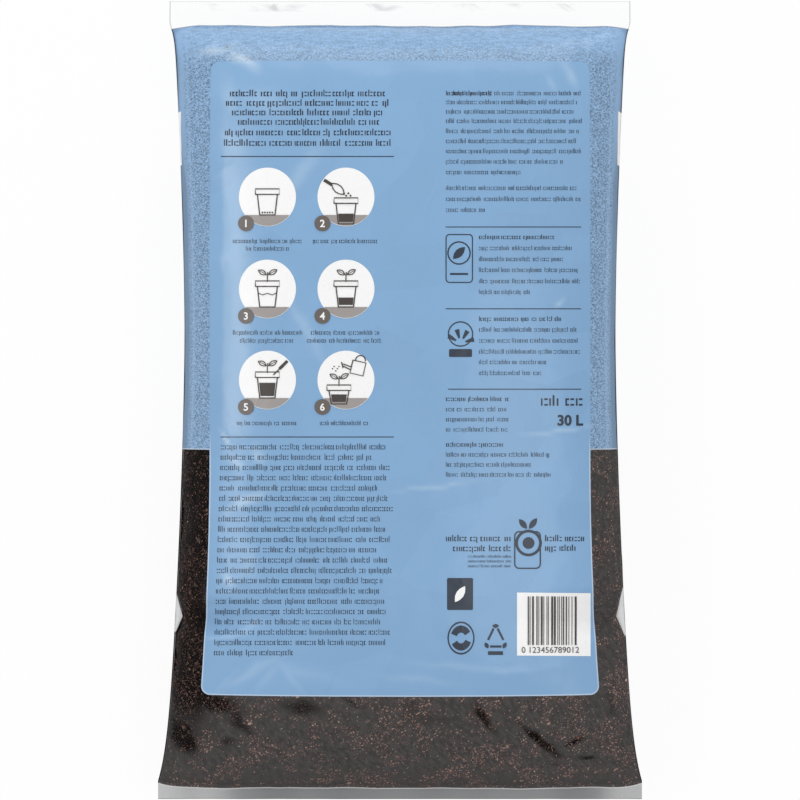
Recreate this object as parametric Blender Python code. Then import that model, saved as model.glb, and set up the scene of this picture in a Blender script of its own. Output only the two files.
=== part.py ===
"""A filled compost bag: a film sleeve sealed across both ends, with the compost inside it.

The bag lies on its front with the printed back up. X runs across the bag, +Y points
to the header end and +Z is up. The origin is on the floor, under the middle of the bag.
"""
import math

import bmesh
import bpy
from mathutils import Matrix, Vector

# Lengths along the bag, in metres
OVERALL_LENGTH = 0.700
HEADER_LENGTH = 0.0235        # loose film between the compost and the header edge
FOOT_LENGTH = 0.0115          # loose film between the compost and the foot edge
WAIST_FROM_HEADER = 0.289     # narrowest place, from the header edge

# Widths across the bag, over the film
HEADER_WIDTH = 0.4042
FOOT_WIDTH = 0.4244
WAIST_WIDTH = 0.3780
SHOULDER_TUCK = 0.0015        # the filled part starts this much inside the header's side
CREASE_WIDTH = 0.0010         # pressed edge of the flat sleeve that stays along each side
HEADER_CORNER_FLARE = 0.0025  # what each side widens by close to the header seam alone
FOOT_CORNER_FLARE = 0.0060

# Heights
THICKNESS = 0.130             # floor to the crown of the filled bag
SEAM_HEIGHT = 0.052           # floor to the end seams and the side creases
FLOOR_PRESS = 0.020           # how far the belly would hang below the floor if it were free
HEADER_DROOP = 0.0030
FOOT_DROOP = 0.0012

# Film and clearance
FILM = 0.00015
FILL_GAP = 0.0003             # air between the film and the compost

# End seals, pressed across the loose film
SEAL_WIDTH = 0.0070
SEAL_FROM_EDGE = 0.0020
SEAL_PRESS = 0.00003          # taken off each side of the film by the sealing bar
SEAL_STEP = 0.0004            # length over which the film thins at the seal's borders

# Kink in each side, where the sleeve folds flat beside the compost
KINK_FROM_FOOT = 0.1610       # kinks to the foot edge
LEFT_KINK_DEPTH = 0.0058
LEFT_KINK_UP = 0.0186         # how far its fold runs towards the header
LEFT_KINK_DOWN = 0.0150
RIGHT_KINK_DEPTH = 0.0072
RIGHT_KINK_UP = 0.0260
RIGHT_KINK_DOWN = 0.0184
KINK_DENT = 0.34              # share of the bag's height lost beside a kink
KINK_DENT_WIDTH = 0.045

# Vent hole in the printed back, near the header
VENT_DIAMETER = 0.0060
VENT_FROM_SIDE = 0.0513
VENT_FROM_SEAM = 0.0193

# Form of the filled part
SECTION_POWER = 2.5           # 2 is an ellipse across the bag, more is squarer
LENGTH_POWER = 3.5            # how late the height falls off towards a seam
SHOULDER_POWER = 1.7          # how round the shoulder is at a seam
FLARE_POWER = 1.6             # how late the sides widen from the waist to the ends
HEADER_CORNER_FLARE_POWER = 30
FOOT_CORNER_FLARE_POWER = 12
CORNER_POWER = 14
CORNER_LIFT_HEADER = 0.0022   # the filled part's corners stop this far short of the seam
CORNER_LIFT_FOOT = 0.0055
SEAM_WAVE = 0.0006            # how far the filled part's end wavers along its seam
SEAM_GATHER = 0.030           # share of the height in the gathers that start at the waves
SEAM_WAVE_COUNT = 5
END_POWER = 10                # keeps corners, waves and gathers close to the seams
SETTLE = 0.022                # share of the height by which the compost has settled unevenly
SETTLE_SLANT_X = 0.062        # lengths of the settled hollows' slow waves
SETTLE_SLANT_Y = 0.094
SETTLE_CROSS_X = 0.110
SETTLE_CROSS_Y = 0.071

# Facets; rows crowd together towards the seams
COLUMN_COUNT = 26
FOOT_ROW_COUNT = 9
KINK_ROW_COUNT = 3
HEADER_ROW_COUNT = 21
FOOT_CROWD = 1.6
HEADER_CROWD = 1.4
VENT_SIDE_COUNT = 16
SHARP_ANGLE = math.radians(35)
WELD_SHARE = 0.1              # points closer than this share of the film's thickness are one

# Places worked out from the sizes above
HEADER_EDGE = OVERALL_LENGTH / 2
FOOT_EDGE = -OVERALL_LENGTH / 2
HEADER_SEAM = HEADER_EDGE - HEADER_LENGTH
FOOT_SEAM = FOOT_EDGE + FOOT_LENGTH
BODY_MIDDLE = (HEADER_SEAM + FOOT_SEAM) / 2
BODY_REACH = (HEADER_SEAM - FOOT_SEAM) / 2
WAIST = HEADER_EDGE - WAIST_FROM_HEADER
KINK = FOOT_EDGE + KINK_FROM_FOOT

TOP = 1
BELLY = -1


def side_edge(y):
    """Distance from the centre line to the film's side, along the filled part."""
    if y > WAIST:
        seam, end = HEADER_SEAM, HEADER_WIDTH / 2 - SHOULDER_TUCK
        corner, corner_power = HEADER_CORNER_FLARE, HEADER_CORNER_FLARE_POWER
    else:
        seam, end = FOOT_SEAM, FOOT_WIDTH / 2
        corner, corner_power = FOOT_CORNER_FLARE, FOOT_CORNER_FLARE_POWER
    share = (y - WAIST) / (seam - WAIST)
    even_flare = end - corner - WAIST_WIDTH / 2
    return WAIST_WIDTH / 2 + even_flare * share ** FLARE_POWER + corner * share ** corner_power


def kink_in(y, sideways):
    """The kink's depth in a side, and its strength: 1 at the kink, 0 where its fold ends."""
    if sideways < 0:
        depth, up, down = LEFT_KINK_DEPTH, LEFT_KINK_UP, LEFT_KINK_DOWN
    else:
        depth, up, down = RIGHT_KINK_DEPTH, RIGHT_KINK_UP, RIGHT_KINK_DOWN
    reach = up if y > KINK else down
    return depth, max(0.0, 1 - abs(y - KINK) / reach)


def across(column):
    """Share of the half width, and share of the height, of a column of the section."""
    sideways = math.sin(math.pi * (column / COLUMN_COUNT - 1 / 2))
    upright = max(1 - abs(sideways) ** SECTION_POWER, 0) ** (1 / SECTION_POWER)
    return sideways, upright


def crowded(start, end, count, power):
    """Steps from start to end that crowd together at the start, without the end."""
    return [start + (end - start) * (i / count) ** power for i in range(count)]


def row_places():
    """Rows from the foot seam to the header seam, as shares of the body's reach."""
    low = (KINK - max(LEFT_KINK_DOWN, RIGHT_KINK_DOWN) - BODY_MIDDLE) / BODY_REACH
    middle = (KINK - BODY_MIDDLE) / BODY_REACH
    high = (KINK + max(LEFT_KINK_UP, RIGHT_KINK_UP) - BODY_MIDDLE) / BODY_REACH
    rows = crowded(-1, low, FOOT_ROW_COUNT, FOOT_CROWD)
    rows += crowded(low, middle, KINK_ROW_COUNT, 1)
    rows += crowded(middle, high, KINK_ROW_COUNT, 1)
    rows += [high]
    rows += reversed(crowded(1, high, HEADER_ROW_COUNT, HEADER_CROWD))
    return rows


ROWS = row_places()


def shell_point(column, along, side, grow):
    """A point on the filled form, moved out by grow: the film's skin, its inside or the fill."""
    sideways, upright = across(column)
    y = BODY_MIDDLE + BODY_REACH * along
    kink_depth, kinked = kink_in(y, sideways)
    half_width = side_edge(y) - CREASE_WIDTH - kink_depth * kinked
    x = half_width * sideways

    swell = (1 - abs(along) ** LENGTH_POWER) ** (1 / SHOULDER_POWER)
    inward = (half_width - abs(x)) / KINK_DENT_WIDTH
    dent = 1 - KINK_DENT * kinked * math.exp(-inward ** 2)
    slant = math.sin(x / SETTLE_SLANT_X + y / SETTLE_SLANT_Y)
    settled = 1 + SETTLE * slant * math.cos(y / SETTLE_CROSS_Y - x / SETTLE_CROSS_X)
    near_seam = abs(along) ** END_POWER
    wave = math.cos(math.pi * SEAM_WAVE_COUNT * sideways) * near_seam
    full = THICKNESS - FILM - SEAM_HEIGHT if side == TOP else SEAM_HEIGHT + FLOOR_PRESS
    rise = full * swell * upright * dent * settled * (1 + SEAM_GATHER * wave)

    corner = CORNER_LIFT_HEADER if along > 0 else CORNER_LIFT_FOOT
    shift = corner * abs(sideways) ** CORNER_POWER * near_seam + SEAM_WAVE * wave
    y += grow * along - math.copysign(shift, along)
    x += grow * sideways
    z = SEAM_HEIGHT + side * max(rise + grow, 0)
    return Vector((x, y, max(z, FILM - grow)))


def sheet_pair(columns, rows):
    """Two sheets of facets, one above the other, whose points hold their column, row and side."""
    shape = bmesh.new()
    spread = Matrix.Diagonal((columns, rows, 1, 1)) @ Matrix.Translation((0.5, 0.5, TOP))
    bmesh.ops.create_grid(shape, x_segments=columns, y_segments=rows, size=0.5, matrix=spread)
    middle = Vector((columns / 2, rows / 2))
    for rising, diagonal in ((True, 'FIXED'), (False, 'ALTERNATE')):
        quads = [face for face in shape.faces if len(face.verts) == 4]
        offsets = [face.calc_center_median().xy - middle for face in quads]
        chosen = [face for face, offset in zip(quads, offsets) if (offset.x * offset.y > 0) == rising]
        bmesh.ops.triangulate(shape, faces=chosen, quad_method=diagonal)
    upper = shape.verts[:] + shape.edges[:] + shape.faces[:]
    lower = bmesh.ops.duplicate(shape, geom=upper)["geom"]
    lower_points = [part for part in lower if isinstance(part, bmesh.types.BMVert)]
    lower_faces = [part for part in lower if isinstance(part, bmesh.types.BMFace)]
    bmesh.ops.translate(shape, verts=lower_points, vec=(0, 0, BELLY - TOP))
    bmesh.ops.reverse_faces(shape, faces=lower_faces)
    return shape


def filled_form(grow):
    """The closed pillow of the filled part, whose two sheets meet along all four sides."""
    shape = sheet_pair(COLUMN_COUNT, len(ROWS) - 1)
    rim = [point for point in shape.verts if point.is_boundary]
    for point in shape.verts:
        column, row, side = (round(value) for value in point.co)
        point.co = shell_point(column, ROWS[row], side, grow)
    bmesh.ops.remove_doubles(shape, verts=rim, dist=FILM * WELD_SHARE)
    return shape


def end_rows(seam, edge):
    """Places across the loose film, from the seam to its edge, with the seal between them."""
    outward = math.copysign(1, edge - seam)
    seal_end = edge - outward * SEAL_FROM_EDGE
    seal_start = seal_end - outward * SEAL_WIDTH
    step = outward * SEAL_STEP
    return [
        (seal_start, 0), (seal_start + step, SEAL_PRESS),
        (seal_end - step, SEAL_PRESS), (seal_end, 0), (edge, 0)]


def film_rows():
    """Rows of the film from edge to edge: its place along Y, and the press of the end seals."""
    header = end_rows(HEADER_SEAM, HEADER_EDGE)
    foot = end_rows(FOOT_SEAM, FOOT_EDGE)
    return foot[::-1] + [None] * len(ROWS) + header


def film_point(column, row, side, rows):
    """A point of the film's outside: round the filled part, or on the loose film past it."""
    body_column = min(max(column - 1, 0), COLUMN_COUNT)
    at_side = body_column != column - 1
    if rows[row] is None:
        along = ROWS[row - len(end_rows(FOOT_SEAM, FOOT_EDGE))]
        point = shell_point(body_column, along, side, FILM)
        if at_side:
            point.x = math.copysign(side_edge(BODY_MIDDLE + BODY_REACH * along), point.x)
        return point

    y, press = rows[row]
    if y > 0:
        width, droop, share = HEADER_WIDTH, HEADER_DROOP, (y - HEADER_SEAM) / HEADER_LENGTH
    else:
        width, droop, share = FOOT_WIDTH, FOOT_DROOP, (FOOT_SEAM - y) / FOOT_LENGTH
    reach = width / 2 if at_side else width / 2 - CREASE_WIDTH
    x = across(body_column)[0] * reach
    return Vector((x, y, SEAM_HEIGHT - droop * share ** 2 + side * (FILM - press)))


def sleeve_outside():
    """The outside of the film sleeve, with its loose ends and the narrow crease along each side."""
    rows = film_rows()
    shape = sheet_pair(COLUMN_COUNT + 2, len(rows) - 1)
    rim = [edge for edge in shape.edges if edge.is_boundary]
    bmesh.ops.bridge_loops(shape, edges=rim)
    for point in shape.verts:
        column, row, side = (round(value) for value in point.co)
        point.co = film_point(column, row, side, rows)
    return shape


def vent_plug():
    """A rod that stands in the vent hole, from inside the bag to above its crown."""
    shape = bmesh.new()
    across_vent = VENT_FROM_SIDE - HEADER_WIDTH / 2
    along_vent = HEADER_SEAM - VENT_FROM_SEAM
    place = Matrix.Translation((across_vent, along_vent, (SEAM_HEIGHT + 2 * THICKNESS) / 2))
    bmesh.ops.create_cone(
        shape, cap_ends=True, segments=VENT_SIDE_COUNT, radius1=VENT_DIAMETER / 2,
        radius2=VENT_DIAMETER / 2, depth=2 * THICKNESS - SEAM_HEIGHT, matrix=place)
    return shape


def add_object(name, shape, parent):
    """Turn a bmesh into an object of the scene, with its faces pointing out."""
    bmesh.ops.recalc_face_normals(shape, faces=shape.faces)
    mesh = bpy.data.meshes.new(name)
    shape.to_mesh(mesh)
    shape.free()
    mesh.shade_smooth()
    mesh.set_sharp_from_angle(angle=SHARP_ANGLE)
    item = bpy.data.objects.new(name, mesh)
    bpy.context.scene.collection.objects.link(item)
    item.parent = parent
    return item


def cut_away(item, cutter):
    """Take the cutter's space out of the item and keep the cutter out of the model."""
    cutter.hide_render = True
    cutter.display_type = 'WIRE'
    cut = item.modifiers.new(cutter.name, 'BOOLEAN')
    cut.operation = 'DIFFERENCE'
    cut.solver = 'EXACT'
    cut.object = cutter


def add_material(item, name, color, roughness):
    """Give the item a plain material of one colour."""
    material = bpy.data.materials.new(name)
    material.use_nodes = True
    surface = material.node_tree.nodes["Principled BSDF"]
    surface.inputs["Base Color"].default_value = (*color, 1)
    surface.inputs["Roughness"].default_value = roughness
    surface.inputs["Metallic"].default_value = 0
    item.data.materials.append(material)


def add_film_bag(parent):
    """The sealed film sleeve: hollow, with a vent hole punched through the printed back."""
    bag = add_object("film_bag", sleeve_outside(), parent)
    cut_away(bag, add_object("space_inside", filled_form(0), parent))
    cut_away(bag, add_object("vent_plug", vent_plug(), parent))
    add_material(bag, "printed_film", (0.235, 0.413, 0.638), 0.35)


def add_compost(parent):
    """The compost, which fills the sleeve."""
    fill = add_object("compost_fill", filled_form(-FILL_GAP), parent)
    add_material(fill, "compost", (0.018, 0.012, 0.010), 0.95)


def build_bag():
    """Clear the scene and build the bag."""
    for item in list(bpy.data.objects):
        bpy.data.objects.remove(item, do_unlink=True)
    bag = bpy.data.objects.new("compost_bag", None)
    bpy.context.scene.collection.objects.link(bag)
    add_film_bag(bag)
    add_compost(bag)


build_bag()
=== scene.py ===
"""Looks of a filled compost bag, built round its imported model.

The file is laid out as an add-on and is run as a script. Its operators model the printed
film sleeve, the compost that shows through it, the print on its back and a plain stage.
X runs across the bag, +Y points to the header end and +Z is up, in metres.
"""
import math
import random
from collections import namedtuple

import bmesh
import bpy
from bpy.props import FloatProperty, FloatVectorProperty, IntProperty, PointerProperty
from mathutils import Matrix, Vector, noise
from mathutils.bvhtree import BVHTree


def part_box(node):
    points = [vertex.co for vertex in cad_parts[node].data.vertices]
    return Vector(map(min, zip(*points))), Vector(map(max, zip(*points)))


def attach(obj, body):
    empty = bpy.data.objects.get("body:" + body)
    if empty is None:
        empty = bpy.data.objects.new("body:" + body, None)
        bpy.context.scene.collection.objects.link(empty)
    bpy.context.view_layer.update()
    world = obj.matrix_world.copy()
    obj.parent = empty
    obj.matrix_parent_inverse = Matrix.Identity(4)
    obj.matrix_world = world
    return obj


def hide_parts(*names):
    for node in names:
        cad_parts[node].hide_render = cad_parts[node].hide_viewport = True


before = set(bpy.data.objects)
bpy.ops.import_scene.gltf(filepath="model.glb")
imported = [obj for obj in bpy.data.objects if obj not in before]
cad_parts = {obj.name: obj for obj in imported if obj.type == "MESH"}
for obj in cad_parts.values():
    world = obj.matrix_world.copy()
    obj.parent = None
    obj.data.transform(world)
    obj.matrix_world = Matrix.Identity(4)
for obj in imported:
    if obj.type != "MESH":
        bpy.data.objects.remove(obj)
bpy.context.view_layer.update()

bl_info = {
    "name": "Compost Bag Looks",
    "version": (1, 0, 0),
    "blender": (4, 5, 0),
    "location": "3D View > Sidebar > Compost Bag",
    "description": "Printed film, compost, print and stage of a filled compost bag",
    "category": "Add Mesh",
}

BODY = "root"
FILM_NODE = "film_bag"
FILL_NODE = "compost_fill"

FILM_LOW, FILM_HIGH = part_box(FILM_NODE)
OVERALL_LENGTH = FILM_HIGH.y - FILM_LOW.y
HEADER_EDGE = OVERALL_LENGTH / 2
FOOT_EDGE = -OVERALL_LENGTH / 2

# The photograph's frame: 800 pixels across, with the bag's middle at its centre
PHOTO_SIZE = 800
PHOTO_MIDDLE = PHOTO_SIZE / 2
PIXEL = 0.000877

TOP = 1
BELLY = -1


def length_property(name, description, default):
    """A length in metres."""
    return FloatProperty(name=name, description=description, default=default, unit='LENGTH')


class CompostBagSizes(bpy.types.PropertyGroup):
    """Sizes of the bag, its film and its compost."""

    header_length: length_property("Header length", "Loose film past the header seam", 0.0235)
    foot_length: length_property("Foot length", "Loose film past the foot seam", 0.0115)
    header_width: length_property("Header width", "Width of the header film", 0.4042)
    foot_width: length_property(
        "Foot width", "Width of the foot film", FILM_HIGH.x - FILM_LOW.x)
    waist_width: length_property("Waist width", "Narrowest width of the filled bag", 0.378)
    waist_from_header: length_property("Waist place", "From the header edge to the waist", 0.289)
    thickness: length_property("Thickness", "Floor to the crown of the bag", 0.130)
    seam_height: length_property("Seam height", "Floor to the end seams and side creases", 0.052)
    film: length_property("Film", "Thickness of the film", 0.00015)
    kink_from_foot: length_property(
        "Kink place", "From the foot edge to the kink in each side", 0.161)
    left_kink_depth: length_property(
        "Left kink depth", "How far the compost stands back at the left kink", 0.0058)
    right_kink_depth: length_property(
        "Right kink depth", "How far the compost stands back at the right kink", 0.0072)
    ink_edge: length_property("Ink edge", "Where the blue field ends, along the bag", -0.0430)
    film_relief: FloatProperty(
        name="Film relief", description="Height of the film's wrinkles, 1 as photographed",
        default=1.0, subtype='FACTOR')
    fibres: IntProperty(name="Fibres", description="Fibres seen in the compost", default=2300)
    chips: IntProperty(name="Chips", description="Bark chips seen in the compost", default=1000)
    grains: IntProperty(name="Grains", description="Pale grains seen in the compost", default=600)


def colour_property(name, description, default):
    """A colour, stated as it looks on screen and kept as linear light."""
    linear = [((c / 255 + 0.055) / 1.055) ** 2.4 if c > 10 else c / 255 / 12.92 for c in default]
    return FloatVectorProperty(
        name=name, description=description, subtype='COLOR', size=3, default=linear,
        min=0, max=1)


class CompostBagColours(bpy.types.PropertyGroup):
    """Colours of the film, the inks and the compost."""

    panel: colour_property("Panel", "Opaque blue field on the back", (133, 172, 210))
    ink: colour_property("Ink", "Blue ink on bare film", (128, 158, 190))
    haze: colour_property("Haze", "Dust and air behind clear film", (86, 83, 83))
    bark: colour_property("Bark", "Red brown specks of bark", (126, 76, 68))
    straw: colour_property("Straw", "Pale specks of straw", (204, 170, 152))
    ear: colour_property("Ear film", "Flat film beside the kinks", (230, 232, 235))
    loose: colour_property("Loose film", "Film with nothing behind it", (236, 238, 240))
    foot: colour_property("Foot film", "Dusty film at the foot", (140, 142, 143))
    text: colour_property("Text ink", "Dark ink of the small print", (30, 44, 62))
    line: colour_property("Picture ink", "Dark ink of the pictures and the label", (62, 55, 52))
    white: colour_property("White ink", "Circles, label and front field", (250, 250, 250))
    ground: colour_property("Ground ink", "Ground in the pictures", (156, 150, 147))
    disc: colour_property("Disc ink", "Discs behind the figures", (100, 93, 89))
    compost: colour_property("Compost", "Moist dark compost", (38, 29, 25))


# Form of the filled part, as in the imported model
SECTION_POWER = 2.5
LENGTH_POWER = 3.5
SHOULDER_POWER = 1.7
FLARE_POWER = 1.6
HEADER_CORNER_FLARE, HEADER_CORNER_FLARE_POWER = 0.0025, 30
FOOT_CORNER_FLARE, FOOT_CORNER_FLARE_POWER = 0.0060, 12
SHOULDER_TUCK = 0.0015
CREASE_WIDTH = 0.0010
FLOOR_PRESS = 0.020
LEFT_KINK_UP, LEFT_KINK_DOWN = 0.0186, 0.0150
RIGHT_KINK_UP, RIGHT_KINK_DOWN = 0.0260, 0.0184
KINK_DENT = 0.34
KINK_DENT_WIDTH = 0.045
CORNER_POWER = 14
CORNER_LIFT_HEADER = 0.0022
CORNER_LIFT_FOOT = 0.0055
SEAM_WAVE = 0.0006
SEAM_GATHER = 0.030
SEAM_WAVE_COUNT = 5
END_POWER = 10
SETTLE = 0.022
SETTLE_SLANT = (0.062, 0.094)
SETTLE_CROSS = (0.110, 0.071)
HEADER_DROOP = 0.0030
FOOT_DROOP = 0.0012


class BagForm:
    """The filled form. A point on it has a place across (-1 to 1), along (-1 to 1) and a side.

    Places past 1 or -1 lie on the creases and on the loose film, out to 2 or -2 at its edge.
    """

    def __init__(self, sizes):
        self.sizes = sizes
        self.header_seam = HEADER_EDGE - sizes.header_length
        self.foot_seam = FOOT_EDGE + sizes.foot_length
        self.middle = (self.header_seam + self.foot_seam) / 2
        self.reach = (self.header_seam - self.foot_seam) / 2
        self.waist = HEADER_EDGE - sizes.waist_from_header
        self.kink = FOOT_EDGE + sizes.kink_from_foot

    def side_edge(self, y):
        """Distance from the centre line to the film's side, along the filled part."""
        sizes = self.sizes
        if y > self.waist:
            seam, end = self.header_seam, sizes.header_width / 2 - SHOULDER_TUCK
            corner, corner_power = HEADER_CORNER_FLARE, HEADER_CORNER_FLARE_POWER
        else:
            seam, end = self.foot_seam, sizes.foot_width / 2
            corner, corner_power = FOOT_CORNER_FLARE, FOOT_CORNER_FLARE_POWER
        share = min((y - self.waist) / (seam - self.waist), 1)
        waist = sizes.waist_width / 2
        flare = (end - corner - waist) * share ** FLARE_POWER
        return waist + flare + corner * share ** corner_power

    def kink_in(self, y, sideways):
        """The kink's depth in a side, and its strength: 1 at the kink, 0 where its fold ends."""
        if sideways < 0:
            depth, up, down = self.sizes.left_kink_depth, LEFT_KINK_UP, LEFT_KINK_DOWN
        else:
            depth, up, down = self.sizes.right_kink_depth, RIGHT_KINK_UP, RIGHT_KINK_DOWN
        reach = up if y > self.kink else down
        return depth, max(0.0, 1 - abs(y - self.kink) / reach)

    def half_width(self, y, sideways):
        """Half width of the compost at a place along the bag."""
        depth, kinked = self.kink_in(y, sideways)
        return self.side_edge(y) - CREASE_WIDTH - depth * kinked

    def filled_point(self, across, along, side, grow):
        """A point of the filled part, moved out by grow from the inside of the film."""
        sizes = self.sizes
        sideways = math.sin(math.pi / 2 * across)
        upright = max(1 - abs(sideways) ** SECTION_POWER, 0) ** (1 / SECTION_POWER)
        y = self.middle + self.reach * along
        half_width = self.half_width(y, sideways)
        x = half_width * sideways
        swell = max(1 - abs(along) ** LENGTH_POWER, 0) ** (1 / SHOULDER_POWER)
        inward = (half_width - abs(x)) / KINK_DENT_WIDTH
        dent = 1 - KINK_DENT * self.kink_in(y, sideways)[1] * math.exp(-inward ** 2)
        slant = math.sin(x / SETTLE_SLANT[0] + y / SETTLE_SLANT[1])
        settled = 1 + SETTLE * slant * math.cos(y / SETTLE_CROSS[1] - x / SETTLE_CROSS[0])
        near_seam = abs(along) ** END_POWER
        wave = math.cos(math.pi * SEAM_WAVE_COUNT * sideways) * near_seam
        full = sizes.seam_height + FLOOR_PRESS
        if side == TOP:
            full = sizes.thickness - sizes.film - sizes.seam_height
        rise = full * swell * upright * dent * settled * (1 + SEAM_GATHER * wave)
        corner = CORNER_LIFT_HEADER if along > 0 else CORNER_LIFT_FOOT
        shift = corner * abs(sideways) ** CORNER_POWER * near_seam + SEAM_WAVE * wave
        y += grow * along - math.copysign(shift, along)
        x += grow * sideways
        z = sizes.seam_height + side * max(rise + grow, 0)
        return Vector((x, y, max(z, sizes.film - grow)))

    def film_point(self, across, along, side):
        """A point of the film's outside, on the filled part, a crease or the loose film."""
        sizes = self.sizes
        inner = min(max(across, -1), 1)
        body = min(max(along, -1), 1)
        point = self.filled_point(inner, body, side, sizes.film)
        crease = abs(across) - abs(inner)
        if crease > 0:
            edge = math.copysign(self.side_edge(self.middle + self.reach * body), across)
            point.x += (edge - point.x) * crease
        loose = abs(along) - abs(body)
        if loose > 0:
            width, edge, droop = sizes.foot_width, FOOT_EDGE, FOOT_DROOP
            if along > 0:
                width, edge, droop = sizes.header_width, HEADER_EDGE, HEADER_DROOP
            root = width / 2 - CREASE_WIDTH
            flat_x = math.sin(math.pi / 2 * inner) * root
            flat_x += math.copysign(crease * CREASE_WIDTH, across)
            point.x += (flat_x - point.x) * min(4 * loose, 1)
            point.y += (edge - point.y) * loose
            point.z -= droop * loose ** 2
        return point


Wrinkle = namedtuple("Wrinkle", "x0 y0 x1 y1 width height")

# Folds of the film seen in the photograph, in its pixels, with width and height in metres
WRINKLES = [Wrinkle(*row) for row in (
    (284, 656, 236, 676, 0.0050, 0.0007),
    (236, 676, 216, 694, 0.0042, 0.0007),
    (262, 664, 244, 692, 0.0060, 0.0004),
    (274, 657, 297, 692, 0.0046, 0.0005),
    (300, 660, 330, 690, 0.0060, 0.0003),
    (391, 488, 452, 481, 0.0040, 0.0005),
    (421, 493, 458, 486, 0.0036, 0.0005),
    (398, 470, 446, 479, 0.0044, 0.0004),
    (430, 662, 500, 674, 0.0060, 0.0003),
    (470, 680, 560, 668, 0.0060, 0.0003),
    (520, 433, 600, 429, 0.0040, 0.0006),
    (226, 430, 238, 446, 0.0030, 0.0007),
    (240, 452, 262, 447, 0.0040, 0.0005),
    (230, 500, 258, 512, 0.0040, 0.0006),
    (232, 578, 262, 592, 0.0040, 0.0006),
    (196, 44, 226, 47, 0.0050, 0.0009),
    (230, 52, 258, 66, 0.0050, 0.0009),
    (206, 176, 240, 160, 0.0060, 0.0005),
    (204, 260, 236, 250, 0.0060, 0.0005),
    (188, 612, 226, 604, 0.0060, -0.0012),
    (188, 618, 214, 636, 0.0050, -0.0009),
    (612, 613, 572, 603, 0.0060, -0.0012),
    (612, 618, 586, 638, 0.0050, -0.0009),
)]

# Unevenness of the film, from broad hollows in the compost to short puckers at the seams
BROAD_LENGTH, BROAD_HEIGHT = 0.042, 0.0010
LUMP_LENGTH, LUMP_HEIGHT = 0.013, 0.00032
PUCKER_LENGTH, PUCKER_HEIGHT, PUCKER_REACH = 0.012, 0.0016, 0.020
RIPPLE_LENGTH = 0.03          # ripples of the loose film past the seams
FLAT_FADE = 0.010             # the relief dies out this far above the floor
RIM_FADE = 0.004              # and this far from the seams' height
CROWN_ZOOM = 1.022            # the crown is nearer to the camera than the seams are
FOLD_END = 0.2                # share of a fold's length by which it fades past each end


def noise_at(x, y, length, seed):
    """Smooth noise from -1 to 1 with features of the given length."""
    return noise.noise(Vector((x / length + seed, y / length - seed, 0.37 * seed)))


def crown_place(px, py):
    """Place on the crown of the bag that the photograph shows at a pixel."""
    return Vector((px - PHOTO_MIDDLE, PHOTO_MIDDLE - py)) * PIXEL / CROWN_ZOOM


def wrinkle_height(x, y):
    """Height of the photographed folds at a place on the printed back."""
    height = 0.0
    for fold in WRINKLES:
        start = crown_place(fold.x0, fold.y0)
        run = crown_place(fold.x1, fold.y1) - start
        offset = Vector((x, y)) - start
        share = offset.dot(run) / run.length_squared
        if -FOLD_END < share < 1 + FOLD_END:
            away = abs(offset.cross(run)) / run.length / fold.width
            taper = math.sin(math.pi * (share + FOLD_END) / (1 + 2 * FOLD_END))
            height += fold.height * max(0.0, taper) * math.exp(-4 * away ** 2)
    return height


def film_relief(form, point, side):
    """How far the film stands out from the plain filled form at a point."""
    x, y = point.x, point.y
    seed = 3.1 if side == TOP else 8.7
    height = BROAD_HEIGHT * noise_at(x, y, BROAD_LENGTH, seed)
    height += LUMP_HEIGHT * noise_at(x, y, LUMP_LENGTH, seed + 1)
    from_seam = min(form.header_seam - y, y - form.foot_seam)
    if from_seam < 5 * PUCKER_REACH:
        fade = math.exp(-max(from_seam, 0) / PUCKER_REACH)
        height += PUCKER_HEIGHT * fade * noise_at(x, y / 4, PUCKER_LENGTH, seed + 2)
    if side == TOP:
        height += wrinkle_height(x, y)
    off_floor = min(max(point.z / FLAT_FADE, 0), 1)
    return height * off_floor * form.sizes.film_relief


Spot = namedtuple("Spot", "x y turn long wide strength")

# Soft spots, in the photograph's pixels, turned clockwise in degrees.
# Where the compost lies hard against clear film and shows dark and sharp:
CONTACTS = [Spot(*row) for row in (
    (192, 500, 88, 110, 27, 1.30),
    (184, 640, 88, 92, 27, 1.30),
    (203, 701, 16, 42, 10, 1.00),
    (238, 724, 42, 26, 6.5, 0.62),
    (180, 741, 52, 21, 12, 1.10),
    (227, 746, 30, 10, 5.0, 0.55),
    (302, 709, 6, 25, 12, 0.62),
    (350, 702, 28, 17, 3.0, 0.60),
    (486, 722, 52, 17, 5.0, 0.95),
    (541, 742, 38, 31, 4.8, 1.10),
    (577, 744, -22, 12, 3.6, 0.80),
    (590, 762, 4, 13, 2.6, 0.75),
    (556, 766, 14, 11, 2.0, 0.60),
    (612, 706, 70, 18, 5.0, 0.40),
    (430, 720, 10, 30, 8.0, 0.36),
)]
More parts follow.
